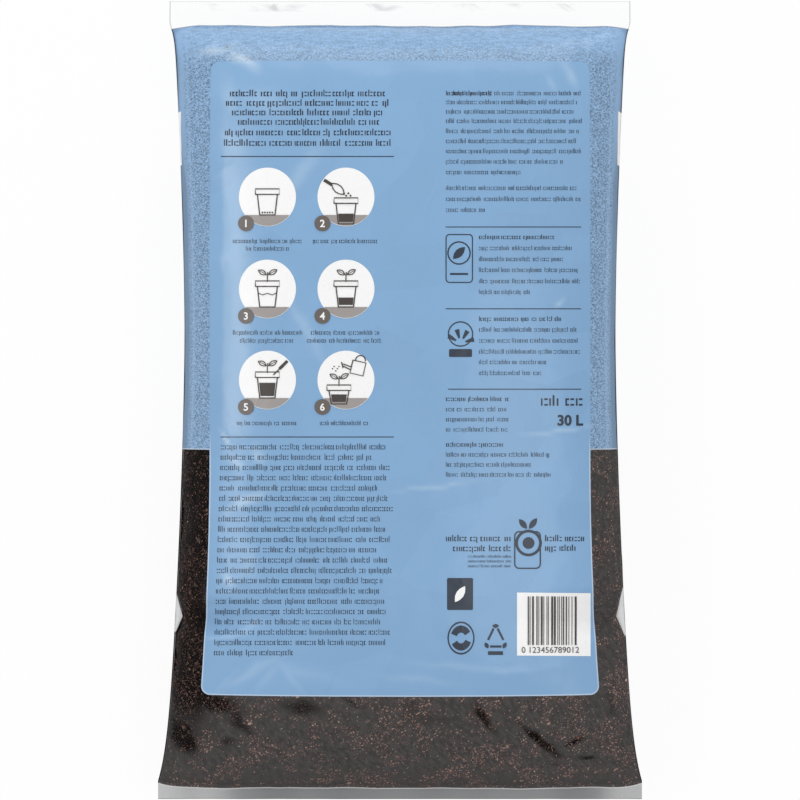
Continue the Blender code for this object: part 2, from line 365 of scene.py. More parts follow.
# Painted highlights: pale sheens and glints where the film's folds catch the light:
PAINTED_GLINTS = [Spot(*row) for row in (
    (212, 46, -4, 14, 4.5, 0.40),
    (241, 57, 27, 16, 4.8, 0.46),
    (262, 98, 20, 26, 12, 0.12),
    (228, 96, 78, 20, 8.0, 0.18),
    (230, 140, 80, 20, 8.0, 0.16),
    (572, 72, 62, 12, 4.0, 0.22),
    (552, 80, 62, 9, 3.0, 0.14),
    (224.5, 438, 60, 8, 1.8, 0.48),
    (236, 461, 30, 8, 4.0, 0.30),
    (259, 455, 60, 8, 5.0, 0.26),
    (247, 501, -28, 17, 4.6, 0.40),
    (228, 581, 38, 9, 3.2, 0.42),
    (248, 560, 70, 22, 8.0, 0.12),
    (300, 175, -55, 30, 7.0, 0.16),
    (306, 330, 62, 34, 5.0, 0.16),
    (560, 303, -55, 6, 2.0, 0.26),
    (250, 674, -29, 34, 4.2, 0.15),
    (287, 674, 52, 22, 3.6, 0.12),
    (268, 676, -50, 20, 4.0, 0.09),
    (300, 672, 14, 34, 6.0, 0.09),
    (435, 486, -8, 36, 2.0, 0.20),
    (560, 431, -5, 30, 1.6, 0.22),
    (470, 668, 4, 56, 3.4, 0.11),
    (420, 680, 5, 34, 3.0, 0.10),
)]
# Painted reflection of the left lamp: a paler strip of the panel, with a crisp and a soft side
LIT_STRIP = (-0.1545, -0.1180)          # paler strip of the panel: its crisp and its soft side
LIT_CRISP, LIT_SOFT = 0.004, 0.0245
LIT_FOOT, LIT_HEADER = (-0.040, -0.020), (0.290, 0.200)     # where its ends fade
LIT_STRENGTH = 0.13
WANDER_LENGTH = 0.014                   # the outlines of the spots wander by these amounts
CONTACT_WANDER, GLINT_WANDER = 0.006, 0.0025


def eased(value, start, end):
    """0 at the start and 1 at the end, smooth between them."""
    share = min(max((value - start) / (end - start), 0), 1)
    return share * share * (3 - 2 * share)


def spot_strength(x, y, spots):
    """The strongest of the soft spots at a place."""
    strongest = 0.0
    for spot in spots:
        east = x / PIXEL * CROWN_ZOOM - (spot.x - PHOTO_MIDDLE)
        south = PHOTO_MIDDLE - spot.y - y / PIXEL * CROWN_ZOOM
        if abs(east) + abs(south) < 3 * (spot.long + spot.wide):
            turn = math.radians(spot.turn)
            run = (east * math.cos(turn) + south * math.sin(turn)) / spot.long
            off = (south * math.cos(turn) - east * math.sin(turn)) / spot.wide
            strongest = max(strongest, spot.strength * math.exp(-run * run - off * off))
    return strongest


def film_marks(point):
    """Strength of the contact and of the painted highlights at a point of the printed back."""
    shift = Vector([noise_at(point.x, point.y, WANDER_LENGTH, seed) for seed in (4.4, 9.6)])
    place = point.xy + CONTACT_WANDER * shift
    contact = spot_strength(place.x, place.y, CONTACTS)
    place = point.xy + GLINT_WANDER * shift
    lit_from, lit_to = LIT_STRIP
    lit = eased(place.x, lit_from, lit_from + LIT_CRISP)
    lit *= eased(place.x, lit_to, lit_to - LIT_SOFT)
    lit *= eased(place.y, *LIT_FOOT) * eased(place.y, *LIT_HEADER)
    return contact, max(spot_strength(place.x, place.y, PAINTED_GLINTS), LIT_STRENGTH * lit)


def sheet_pair(columns, rows):
    """A closed pair of sheets, one above the other, with finer quads on the upper one.

    Its points hold their column, row and side.
    """
    shape = bmesh.new()
    spread = Matrix.Diagonal((columns, rows, 1, 1)) @ Matrix.Translation((0.5, 0.5, TOP))
    bmesh.ops.create_grid(shape, x_segments=columns, y_segments=rows, size=0.5, matrix=spread)
    upper = shape.verts[:] + shape.edges[:] + shape.faces[:]
    lower = bmesh.ops.duplicate(shape, geom=upper)["geom"]
    lower_points = [part for part in lower if isinstance(part, bmesh.types.BMVert)]
    bmesh.ops.translate(shape, verts=lower_points, vec=(0, 0, BELLY - TOP))
    bmesh.ops.bridge_loops(shape, edges=[edge for edge in shape.edges if edge.is_boundary])
    bmesh.ops.recalc_face_normals(shape, faces=shape.faces)
    upper_faces = [face for face in shape.faces if all(point.co.z > 0 for point in face.verts)]
    edges = list({edge for face in upper_faces for edge in face.edges})
    bmesh.ops.subdivide_edges(shape, edges=edges, cuts=1, use_grid_fill=True)
    return shape


def between(stops, place):
    """Value at a place between two of the stops."""
    index = min(int(place), len(stops) - 2)
    share = place - index
    return stops[index] * (1 - share) + stops[index + 1] * share


def steps(start, end, count):
    """Even steps from start to end, without the end."""
    return [start + (end - start) * i / count for i in range(count)]


def eased_rows(count):
    """Rows along the filled part, closer together near the seams."""
    even = steps(-1, 1, count) + [1]
    return [0.55 * row + 0.45 * math.sin(math.pi / 2 * row) for row in even]


def finished_object(name, shape, material):
    """Turn a bmesh into a smooth piece that rides on the bag."""
    mesh = bpy.data.meshes.new(name)
    shape.to_mesh(mesh)
    shape.free()
    mesh.shade_smooth()
    item = bpy.data.objects.new(name, mesh)
    bpy.context.scene.collection.objects.link(item)
    mesh.materials.append(material)
    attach(item, BODY)
    return item


def move_all(shape, moves):
    """Move every point of a shape by its own step."""
    for point, move in zip(shape.verts, moves):
        point.co += move


CREASE_COLUMNS = 3
SLEEVE_COLUMNS, SLEEVE_ROWS = 112, 126
HEADER_ROWS, FOOT_ROWS = 10, 6
FILM_MARKS = ("across", "along", "side", "kink", "contact", "scuff")     # read by its material


def build_sleeve(form):
    """The film sleeve's outside as a bmesh, with its places kept as attributes."""
    columns = steps(-2, -1, CREASE_COLUMNS) + steps(-1, 1, SLEEVE_COLUMNS)
    columns += steps(1, 2, CREASE_COLUMNS) + [2]
    rows = steps(-2, -1, FOOT_ROWS) + eased_rows(SLEEVE_ROWS)[:-1]
    rows += steps(1, 2, HEADER_ROWS) + [2]
    shape = sheet_pair(len(columns) - 1, len(rows) - 1)
    for name in FILM_MARKS:
        shape.verts.layers.float.new(name)
    layers = [shape.verts.layers.float[name] for name in FILM_MARKS]
    for point in shape.verts:
        across, along = between(columns, point.co.x), between(rows, point.co.y)
        side = TOP if point.co.z > 0 else BELLY
        point.co = form.film_point(across, along, side)
        kink = form.kink_in(point.co.y, across)[1]
        contact, scuff = film_marks(point.co) if side == TOP else (0, 0)
        for layer, value in zip(layers, (across, along, side, kink, contact, scuff)):
            point[layer] = value
    shape.normal_update()
    moves = []
    for point in shape.verts:
        across, along, side = (point[layer] for layer in layers[:3])
        if max(abs(across), abs(along)) > 1:
            past = max(abs(along) - 1, 0)
            ripple = PUCKER_HEIGHT * noise_at(point.co.x, point.co.y / 3, RIPPLE_LENGTH, 5.2)
            moves.append(Vector((0, 0, ripple * past)))
        else:
            rim = min(abs(point.co.z - form.sizes.seam_height) / RIM_FADE, 1)
            moves.append(point.normal * film_relief(form, point.co, side) * rim)
    move_all(shape, moves)
    return shape


FILL_GAP = 0.0003
CRUMB_LENGTH, CRUMB_DEPTH = 0.006, 0.0016
PIT_LENGTH, PIT_DEPTH, PIT_FROM = 0.022, 0.004, 0.12
COMPOST_COLUMNS, COMPOST_ROWS = 96, 112


def build_compost(form):
    """The compost's surface as a bmesh: the same form just inside the film, cut by crumbs."""
    columns = steps(-1, 1, COMPOST_COLUMNS) + [1]
    rows = eased_rows(COMPOST_ROWS)
    shape = sheet_pair(COMPOST_COLUMNS, COMPOST_ROWS)
    side_layer = shape.verts.layers.float.new("side")
    for point in shape.verts:
        across, along = between(columns, point.co.x), between(rows, point.co.y)
        side = TOP if point.co.z > 0 else BELLY
        point[side_layer] = side
        point.co = form.filled_point(across, along, side, -FILL_GAP)
    bmesh.ops.remove_doubles(shape, verts=shape.verts, dist=FILL_GAP / 5)
    shape.normal_update()
    moves = []
    for point in shape.verts:
        side = TOP if point[side_layer] > 0 else BELLY
        place = point.co
        rim = min(abs(place.z - form.sizes.seam_height) / RIM_FADE, 1)
        crumb = 0.5 + 0.5 * noise_at(place.x, place.y + place.z, CRUMB_LENGTH, 2.3)
        pit = max(noise_at(place.x, place.y, PIT_LENGTH, 6.1) - PIT_FROM, 0) * PIT_DEPTH
        relief = film_relief(form, place, side) * rim
        moves.append(point.normal * (relief - (CRUMB_DEPTH * crumb + pit) * rim))
    move_all(shape, moves)
    return shape


class Ground:
    """Where small things lie: the film's surface, found from above or from below."""

    def __init__(self, shape):
        self.tree = BVHTree.FromBMesh(shape)

    def first_hit(self, start, heading):
        """Place and outward normal that a ray meets first."""
        place, normal, _face, _away = self.tree.ray_cast(start, heading)
        return place, normal

    def at(self, x, y, side):
        """Place and outward normal of the printed back, or of the front under it."""
        return self.first_hit(Vector((x, y, side)), Vector((0, 0, -side)))

    def seen_at(self, px, py):
        """Place and normal that the camera sees at a pixel of the photograph."""
        eye = Vector((0, 0, CAMERA_HEIGHT))
        target = Vector(((px - PHOTO_MIDDLE) * PIXEL, (PHOTO_MIDDLE - py) * PIXEL, SEAM_PLANE))
        return self.first_hit(eye, target - eye)


PANEL_TOP, PANEL_BOTTOM = 0.2942, -0.2553
PANEL_HALF_WIDTH, PANEL_WIDENING = 0.1645, 0.0085
PANEL_WIDENS_FROM = -0.05
PANEL_CORNER = 0.0083


def panel_half_width(y):
    """Half width of the opaque panel, which widens towards the foot."""
    share = min(max((PANEL_WIDENS_FROM - y) / (PANEL_WIDENS_FROM - PANEL_BOTTOM), 0), 1)
    return PANEL_HALF_WIDTH + PANEL_WIDENING * share ** 2


TOP_SHARE = 0.85              # share of the flecks that lie on the printed back
SEAM_ROOM, SIDE_ROOM, INK_ROOM = 0.004, 0.0036, 0.001
FLECK_DEPTH = 0.00012         # least depth of a fleck under the film


def bare_place(form, rng):
    """A random place of the clear film, off the panel, with its surface and side."""
    foot = form.foot_seam + SEAM_ROOM
    while True:
        x = rng.uniform(-1, 1) * form.sizes.foot_width / 2
        y = rng.uniform(foot, form.sizes.ink_edge - INK_ROOM)
        side = TOP if rng.random() < TOP_SHARE else BELLY
        on_panel = abs(x) < panel_half_width(y) and y > PANEL_BOTTOM
        if abs(x) < form.half_width(y, x) - SIDE_ROOM and not (side == TOP and on_panel):
            return x, y, side


def fleck_frame(ground, place, rng, depth, lean):
    """Matrix that lays a fleck's length in the film's surface, a little under it."""
    place, normal = ground.at(*place)
    if place is None:
        return None
    turn = rng.uniform(0, 2 * math.pi)
    heading = Vector((math.cos(turn), math.sin(turn), 0)) + normal * rng.uniform(-lean, 0)
    length_axis = (heading - normal * heading.dot(normal) * (1 - lean)).normalized()
    width_axis = normal.cross(length_axis).normalized()
    height_axis = length_axis.cross(width_axis)
    turned = Matrix((width_axis, height_axis, length_axis)).transposed().to_4x4()
    return Matrix.Translation(place - normal * (depth + FLECK_DEPTH)) @ turned


def build_fibres(form, ground, count):
    """Thin tapering fibres under the clear film."""
    rng = random.Random(11)
    shape = bmesh.new()
    for _fibre in range(count):
        place = bare_place(form, rng)
        length = 0.0014 + 0.0068 * rng.random() ** 4
        thick = rng.uniform(0.00014, 0.00036)
        matrix = fleck_frame(ground, place, rng, thick, 0.1)
        if matrix is not None:
            bmesh.ops.create_cone(
                shape, cap_ends=True, segments=4, radius1=thick, radius2=thick * 0.35,
                depth=length, matrix=matrix)
    return shape


CRUMB_FLATNESS = 0.4
CRUMB_JITTER = 0.16


def build_crumbs(form, ground, count, seed, small, large):
    """Irregular flat crumbs under the clear film."""
    rng = random.Random(seed)
    shape = bmesh.new()
    for _crumb in range(count):
        place = bare_place(form, rng)
        size = small + (large - small) * rng.random() ** 3
        matrix = fleck_frame(ground, place, rng, size * CRUMB_FLATNESS, 0.2)
        if matrix is None:
            continue
        spread = (size * rng.uniform(0.5, 0.9), size * CRUMB_FLATNESS, size, 1)
        made = bmesh.ops.create_icosphere(
            shape, subdivisions=1, radius=1, matrix=matrix @ Matrix.Diagonal(spread))
        for point in made["verts"]:
            jitter = Vector([rng.uniform(-1, 1) for _axis in range(3)])
            point.co += jitter * size * CRUMB_JITTER
    return shape


# Drawing flat shapes in the photograph's pixels, with y downwards

PRINT_STEP = 3.0


def cuts_for(length):
    """How many parts a length is cut into, so that it can lie on the film."""
    return max(round(length / PRINT_STEP), 1)


def box_matrix(left, top, right, bottom):
    """Matrix that spreads a unit square over a box."""
    middle = Matrix.Translation(((left + right) / 2, (top + bottom) / 2, 0))
    return middle @ Matrix.Diagonal((right - left, bottom - top, 1, 1))


def new_points(shape, before):
    """The points that a shape has now and didn't have before."""
    return [point for point in shape.verts if point not in before]


def faces_at(points):
    """The faces that meet the points."""
    return list({face for point in points for face in point.link_faces})


def edges_of(faces):
    """The edges of the faces."""
    return list({edge for face in faces for edge in face.edges})


def bar(shape, left, top, right, bottom):
    """A filled rectangle, cut small enough to lie on the film."""
    return bmesh.ops.create_grid(
        shape, x_segments=cuts_for(right - left), y_segments=cuts_for(bottom - top), size=0.5,
        matrix=box_matrix(left, top, right, bottom))["verts"]


def mark(shape, left, top, right, bottom):
    """A small filled rectangle of one face."""
    return bmesh.ops.create_grid(
        shape, x_segments=1, y_segments=1, size=0.5,
        matrix=box_matrix(left, top, right, bottom))["verts"]


def sweep(shape, centre, inner, outer, start=0.0, turn=360.0, stretch=1.0):
    """A disc, ring or arc, made by turning a radial line. Angles run clockwise from +X."""
    begin = Vector((math.cos(math.radians(start)), math.sin(math.radians(start)), 0))
    radii = steps(inner, outer, cuts_for(outer - inner)) + [outer]
    before = set(shape.verts)
    line = [shape.verts.new(begin * radius) for radius in radii]
    edges = [shape.edges.new(pair) for pair in zip(line, line[1:])]
    count = max(round(math.radians(turn) * outer / PRINT_STEP), 10)
    bmesh.ops.spin(
        shape, geom=line + edges, cent=(0, 0, 0), axis=(0, 0, 1), angle=math.radians(turn),
        steps=count, use_merge=turn >= 360)
    if inner == 0:
        poles = [point for point in new_points(shape, before) if point.co.length < 1e-4]
        bmesh.ops.remove_doubles(shape, verts=poles, dist=1e-3)
    fresh = new_points(shape, before)
    for point in fresh:
        point.co = Vector((centre[0] + point.co.x, centre[1] + point.co.y * stretch, 0))
    return fresh


def cut_small(shape, points):
    """Cut the faces of the given points along a grid of PRINT_STEP."""
    for axis in (0, 1):
        normal = Vector((axis == 0, axis == 1, 0))
        low = min(point.co[axis] for point in points)
        high = max(point.co[axis] for point in points)
        for level in steps(low, high, cuts_for(high - low))[1:]:
            faces = faces_at(points)
            made = bmesh.ops.bisect_plane(
                shape, geom=points + edges_of(faces) + faces, plane_co=normal * level,
                plane_no=normal)
            fresh = [part for part in made["geom"] if isinstance(part, bmesh.types.BMVert)]
            points = list(set(points) | set(fresh))


def keep_outline(shape, points, line):
    """Leave only an outline of the faces at the points."""
    faces = faces_at(points)
    bmesh.ops.inset_region(
        shape, faces=faces, thickness=line, use_boundary=True, use_even_offset=True)
    bmesh.ops.delete(shape, geom=faces, context='FACES')


def rounded_box(shape, left, top, right, bottom, corner, line=0.0):
    """A box with round corners: filled, or only its outline when it has a line width."""
    before = set(shape.verts)
    bmesh.ops.bevel(
        shape, geom=mark(shape, left, top, right, bottom), offset=corner, affect='VERTICES',
        segments=4, profile=0.5, material=-1)
    if line:
        keep_outline(shape, new_points(shape, before), line)
    cut_small(shape, new_points(shape, before))


def stroke(shape, path, width):
    """A ribbon along a path of points."""
    path = [Vector((x, y, 0)) for x, y in path]
    before = None
    for index, place in enumerate(path):
        ahead = path[min(index + 1, len(path) - 1)] - path[max(index - 1, 0)]
        aside = Vector((-ahead.y, ahead.x, 0)).normalized() * width / 2
        if before is None:
            ends = [shape.verts.new(place + aside), shape.verts.new(place - aside)]
            before = shape.edges.new(ends)
            continue
        made = bmesh.ops.extrude_edge_only(shape, edges=[before])["geom"]
        before = next(part for part in made if isinstance(part, bmesh.types.BMEdge))
        for point, offset in zip(ends_in_order(before, ends), (aside, -aside)):
            point.co = place + offset
        ends = ends_in_order(before, ends)


def ends_in_order(edge, previous):
    """The ends of a new edge, each beside the previous point that it grew from."""
    first, second = edge.verts
    linked = {other for link in first.link_edges for other in link.verts}
    return [first, second] if previous[0] in linked else [second, first]


def leaf(shape, foot, tip, width, line=0.0):
    """A pointed leaf from its foot to its tip: filled, or its outline when it has a line."""
    foot, tip = Vector(foot), Vector(tip)
    run = tip - foot
    made = bmesh.ops.create_circle(shape, cap_ends=True, radius=1, segments=14)["verts"]
    across = Vector((-run.y, run.x)).normalized() * width / 2
    middle = (foot + tip) / 2
    for point in made:
        along, aside = point.co.x, math.copysign(1 - point.co.x ** 2, point.co.y)
        place = middle + run / 2 * along + across * aside * min(abs(point.co.y) * 8, 1)
        point.co = place.to_3d()
    if line:
        keep_outline(shape, made, line)


def taper(shape, left, top, right, bottom, inset):
    """A filled shape like a flower pot, narrower at its foot."""
    centre = (left + right) / 2
    half = (right - left) / 2
    for point in bar(shape, left, top, right, bottom):
        share = (point.co.y - top) / (bottom - top)
        point.co.x = centre + (point.co.x - centre) * (1 - inset * share / half)


def numeral(shape, text, centre, height, bold=0.0):
    """Figures as flat mesh, centred on a place."""
    curve = bpy.data.curves.new("figures", 'FONT')
    curve.body = text
    curve.align_x, curve.align_y = 'CENTER', 'CENTER'
    curve.resolution_u = 3
    curve.offset = bold
    item = bpy.data.objects.new("figures", curve)
    mesh = item.to_mesh()
    before = set(shape.verts)
    shape.from_mesh(mesh)
    item.to_mesh_clear()
    bpy.data.objects.remove(item)
    bpy.data.curves.remove(curve)
    fresh = new_points(shape, before)
    left, right = (pick(point.co.x for point in fresh) for pick in (min, max))
    low, high = (pick(point.co.y for point in fresh) for pick in (min, max))
    scale = height / (high - low)
    for point in fresh:
        x = centre[0] + (point.co.x - (left + right) / 2) * scale
        y = centre[1] - (point.co.y - (low + high) / 2) * scale
        point.co = Vector((x, y, 0))
    cut_small(shape, fresh)


# Filler lines that stand for the print: left, right, middle height, height of its small
# marks in pixels, and whether it is heavy
SMALL, TEXT, HEADING, TITLE, TALL, TINY = 3.3, 4.1, 4.4, 4.6, 7.4, 1.9
HEADLINES = [(left, right, y, TITLE, True) for left, right, y in (
    (230, 386, 94), (226, 390, 103.5), (232, 384, 113), (238, 378, 122.5), (225, 391, 133),
    (224, 392, 143.5))]
CAPTIONS = [(left, right, y, SMALL, False) for left, right, y in (
    (233, 302, 241.5), (246, 290, 249), (313, 377, 241.5), (233, 303, 333), (240, 294, 341),
    (311, 380, 333), (307, 382, 341), (237, 296, 423.5), (320, 368, 423.5))]
STORY = [(221 - 0.35 * index, right, 447.4 + 10.29 * index, TEXT, False)
         for index, right in enumerate((
             388, 372, 391, 386, 378, 390, 392, 380, 385, 391, 376, 388, 392, 384, 379, 390,
             386, 381, 391, 387, 292))]
RIGHT_LINES = [(446, right, y, SMALL, False) for right, y in (
    (581, 93.7), (578, 102.6), (574, 112), (582, 121.4), (579, 131.5), (576, 141.5),
    (581, 151.6), (563, 162), (521, 172.6), (577, 188.4), (580, 199.4), (487, 210.3),
    (550, 455), (534, 465), (551, 475))]
BOLD_RIGHT_LINES = [(446, right, y, SMALL, True) for right, y in (
    (494, 93.7), (503, 445), (508, 399.4))]
FILL_LINES = [(446, right, y, SMALL, False) for right, y in (
    (506, 409.7), (509, 419.7), (508, 429.9))]
BADGE_LINES = [(479, right, y, SMALL, heavy) for right, y, heavy in (
    (554, 237.5, True), (572, 248.5, False), (563, 259.5, False), (578, 270.4, False),
    (580, 281.6, False), (530, 292.4, False), (561, 319.3, True), (576, 330, False),
    (578, 341, False), (580, 352, False), (547, 362.5, False), (541, 373.4, False))]
HEADINGS = [(left, right, y, HEADING, True) for left, right, y in (
    (446, 511, 539), (453, 513, 549), (545, 585, 539), (545, 581, 548.6))]
TINY_LINES = [(468, 511, y, TINY, False) for y in (556.6, 561.4, 566.3)]
FILLER_LINES = (HEADLINES + CAPTIONS + STORY + RIGHT_LINES + BOLD_RIGHT_LINES + FILL_LINES
                + BADGE_LINES + HEADINGS + TINY_LINES + [(541, 582, 402, TALL, True)])
RULES = ((221, 394, 156.5), (220.6, 393.7, 437), (445.6, 581, 227), (445.6, 581, 308.8),
         (448, 581, 389.2))
RULE_WIDTH = 0.9
WORD_LENGTHS = (7, 11, 16, 20, 25, 31, 38)


def filler_line(shape, rng, left, right, y, x_height, heavy):
    """Words of short plain marks, which stand for a line of small print."""
    cursor = left
    size = x_height / TEXT
    thick = (0.95 if heavy else 0.66) * size
    gap = (1.12 if heavy else 1.15) * size
    while cursor < right - 2:
        end = min(cursor + rng.choice(WORD_LENGTHS) * size, right)
        while cursor < end - thick:
            width = thick * rng.uniform(0.85, 1.25)
            top, bottom = y - x_height / 2, y + x_height / 2
            kind = rng.random()
            if kind < 0.16:
                top -= 0.42 * x_height
            elif kind < 0.20:
                bottom += 0.34 * x_height
            if kind < 0.60:
                mark(shape, cursor, top, cursor + width, bottom)
            else:
                wide = 2.1 * thick
                rule = 0.24 * x_height
                mark(shape, cursor, top, cursor + wide, top + rule)
                mark(shape, cursor, bottom - rule, cursor + wide, bottom)
                if kind < 0.85:
                    mark(shape, cursor, top + rule, cursor + width, bottom - rule)
                width = wide
            cursor += width + gap * rng.uniform(0.6, 1.2)
        cursor = end + 2.5 * size


def draw_text(shape):
    """All the filler lines and rules in the dark ink, and the fill mark."""
    rng = random.Random(5)
    for line in FILLER_LINES:
        filler_line(shape, rng, *line)
    for left, right, y in RULES:
        bar(shape, left, y - RULE_WIDTH / 2, right, y + RULE_WIDTH / 2)
    numeral(shape, "30 L", (570.3, 420.3), 11.2, bold=0.035)


def draw_marks(shape):
    """Plain generic shapes in the dark ink, where the print has its small pictures."""
    rounded_box(shape, 445.5, 234, 473, 283, 4, line=1.1)
    sweep(shape, (459, 253), 10.4, 11.8)
    leaf(shape, (453, 259), (465, 247), 8)
    bar(shape, 450, 273, 468, 275)
    sweep(shape, (460.5, 334), 11.5, 12.8)
    for angle in (200, 245, 290, 335):
        sweep(shape, (460.5, 343), 5, 14, start=angle, turn=20)
    rounded_box(shape, 449, 349, 472, 357, 1.5)
    rounded_box(shape, 514, 531, 541, 569, 5, line=1.4)
    sweep(shape, (528.5, 543), 10.6, 13.4)
    sweep(shape, (528.5, 543), 0, 6)
    leaf(shape, (527, 529), (519, 519), 6)
    leaf(shape, (529, 529), (537, 518), 6)
    rounded_box(shape, 447, 578, 473, 610, 1.5)
    sweep(shape, (461, 638), 12.2, 13.6, stretch=1.22)
    for start in (20, 200):
        sweep(shape, (461, 638), 4.5, 10.5, start=start, turn=130, stretch=1.2)
    for path in (((488, 640), (493.6, 628.5)), ((497.6, 628.5), (503.4, 640)),
                 ((490, 646.5), (501.5, 646.5))):
        stroke(shape, path, 2.2)
    for x, y, turn in ((495.6, 626, 0), (504.6, 645.4, 120), (486.6, 645.4, 240)):
        east, south = 3.4 * math.cos(math.radians(turn)), 3.4 * math.sin(math.radians(turn))
        leaf(shape, (x - east, y - south), (x + east, y + south), 4.2)
    mark(shape, 488, 651.2, 503, 655)


PICTURES = [(x, y) for x in (267.5, 346) for y in (197, 289, 380)]
PICTURE_RADIUS = 28.5
PICTURE_STRETCH = 1.03        # the pictures are a little taller than wide
GROUND_INSET, GROUND_LEVEL = 0.4, 18
NUMBERS = [(x, y) for y in (223.5, 316, 407) for x in (246.2, 322.5)]
NUMBER_RADIUS = 8
LABEL = (517, 592.5, 590.5, 655.5)
LABEL_SLOPE = 0.008


def draw_white(shape):
    """White fields: six picture grounds and the label."""
    for place in PICTURES:
        sweep(shape, place, 0, PICTURE_RADIUS, stretch=PICTURE_STRETCH)
    for point in bar(shape, *LABEL):
        point.co.y += (point.co.x - LABEL[0]) * LABEL_SLOPE


def draw_ground(shape):
    """Grey brown ground in the foot of each picture."""
    for x, y in PICTURES:
        fresh = sweep(shape, (x, y), 0, PICTURE_RADIUS - GROUND_INSET, stretch=PICTURE_STRETCH)
        faces = faces_at(fresh)
        bmesh.ops.bisect_plane(
            shape, geom=fresh + edges_of(faces) + faces, plane_co=(0, y + GROUND_LEVEL, 0),
            plane_no=(0, -1, 0), clear_outer=True)


def draw_discs(shape):
    """Round grounds for the six figures."""
    for place in NUMBERS:
        sweep(shape, place, 0, NUMBER_RADIUS)


POT_LINE = 1.15


def pot(shape, x, y, filled, height=26.0):
    """A flower pot in outline with its top at y, and compost up to a share of its height."""
    rim = 5.5
    for path in (((x - 12, y + rim), (x - 12, y), (x + 12, y), (x + 12, y + rim),
                  (x - 12, y + rim)),
                 ((x - 10, y + rim), (x - 7.6, y + height)),
                 ((x + 10, y + rim), (x + 7.6, y + height)),
                 ((x - 8, y + height), (x + 8, y + height))):
        stroke(shape, path, POT_LINE)
    if filled:
        room = height - rim - 4
        top = y + height - 2 - filled * room
        half = 9.0 - 2.2 * (top - y) / height
        taper(shape, x - half, top, x + half, y + height - 2, 1.6 * filled)


def seedling(shape, x, y):
    """A stem that stands at a pot's top, with a pair of leaves and a young one."""
    stroke(shape, [(x, y + 1), (x, y - 5), (x + 0.5, y - 9)], 1.0)
    leaf(shape, (x - 0.5, y - 6), (x - 9.5, y - 11), 5.4, line=1.0)
    leaf(shape, (x + 0.8, y - 6), (x + 10, y - 11.5), 5.4, line=1.0)
    stroke(shape, [(x - 2, y - 7), (x - 7.5, y - 10)], 0.6)
    stroke(shape, [(x + 2.4, y - 7), (x + 8, y - 10.3)], 0.6)


def dots(shape, x, y, count, step, rise, cycle, radius):
    """A run of dots that rises and falls in a cycle."""
    for index in range(count):
        sweep(shape, (x + step * index, y + index % cycle * rise), 0, radius)


def draw_pictures(shape):
    """Plain pictures of potting: pots, a scoop, seedlings, a dibber and a can."""
    (left, one), (_left, two), (_left, three), (right, _one), *_rest = PICTURES
    for x, y, filled, planted in ((left, one - 8, 0, False), (right, one + 1, 0.5, False),
                                  (left, two - 8, 0, True), (right, two - 8, 0.45, True),
                                  (left, three - 8, 0.8, True)):
        pot(shape, x, y, filled)
        if planted:
            seedling(shape, x, y)
    pot(shape, right - 7, three + 5, 0.8, height=19)
    seedling(shape, right - 7, three + 5)
    dots(shape, left - 5, one + 15.6, 5, 2.5, 0, 1, 0.9)
    stroke(shape, ((right - 22, one - 17), (right - 14, one - 12)), 3.2)
    leaf(shape, (right - 15, one - 14), (right - 1, one - 2), 9, line=1.1)
    dots(shape, right - 2, one - 3.6, 4, 2.2, 2.4, 2, 1.0)
    stroke(shape, ((left - 9, two + 4), (left - 5, two + 6), (left, two + 4.4),
                   (left + 5, two + 6), (left + 9, two + 4)), 0.9)
    stroke(shape, ((left + 20, three - 19), (left + 12, three - 11)), 3.0)
    stroke(shape, ((left + 12, three - 11), (left + 6, three - 5)), 1.2)
    for path in (((right + 7, three - 20), (right + 20, three - 17), (right + 17, three - 4),
                  (right + 4, three - 7), (right + 7, three - 20)),
                 ((right + 5, three - 10), (right - 3, three - 14)),
                 ((right + 5.6, three - 13), (right - 3, three - 16)),
                 ((right - 4.4, three - 18), (right - 3, three - 12))):
        stroke(shape, path, POT_LINE)
    sweep(shape, (right + 14.5, three - 19.5), 4.4, 5.5, start=180, turn=190)
    dots(shape, right - 7, three - 13.5, 5, -1.6, 2.2, 3, 0.7)


def draw_label(shape):
    """Plain bars and counting figures on the white label."""
    rng = random.Random(23)
    cursor = 527.6
    while cursor < 577:
        width = rng.choice((0.7, 0.7, 1.2, 1.9))
        bar(shape, cursor, 596.3, cursor + width, 645)
        cursor += width + rng.choice((0.8, 0.9, 1.6, 2.4))
    for text, centre in (("0", 523.4), ("123456", 541.4), ("789012", 566.4)):
        numeral(shape, text, (centre, 649.8), 6.0)


def draw_numbers(shape):
    """White figures on the number discs, and the leaf on one dark picture."""
    for number, place in enumerate(NUMBERS, start=1):
        numeral(shape, str(number), place, 7.5, bold=0.02)
    leaf(shape, (455, 602), (465, 586), 8)


# Each ink lies a step above the one under it, so that none shows through another
Ink = namedtuple("Ink", "name draw colour lift")
LIFTS = (0.00018, 0.00040, 0.00062, 0.00086)
INKS = (
    Ink("print_text", draw_text, "text", LIFTS[0]),
    Ink("print_marks", draw_marks, "text", LIFTS[0]),
    Ink("print_white", draw_white, "white", LIFTS[0]),
    Ink("print_ground", draw_ground, "ground", LIFTS[1]),
    Ink("print_discs", draw_discs, "disc", LIFTS[2]),
    Ink("print_pictures", draw_pictures, "line", LIFTS[2]),
    Ink("print_label", draw_label, "line", LIFTS[2]),
    Ink("print_numbers", draw_numbers, "white", LIFTS[3]),
)
INK_THICKNESS = 0.00006
SHARP_ANGLE = 0.7             # edges that turn by more than this stay sharp, in radians


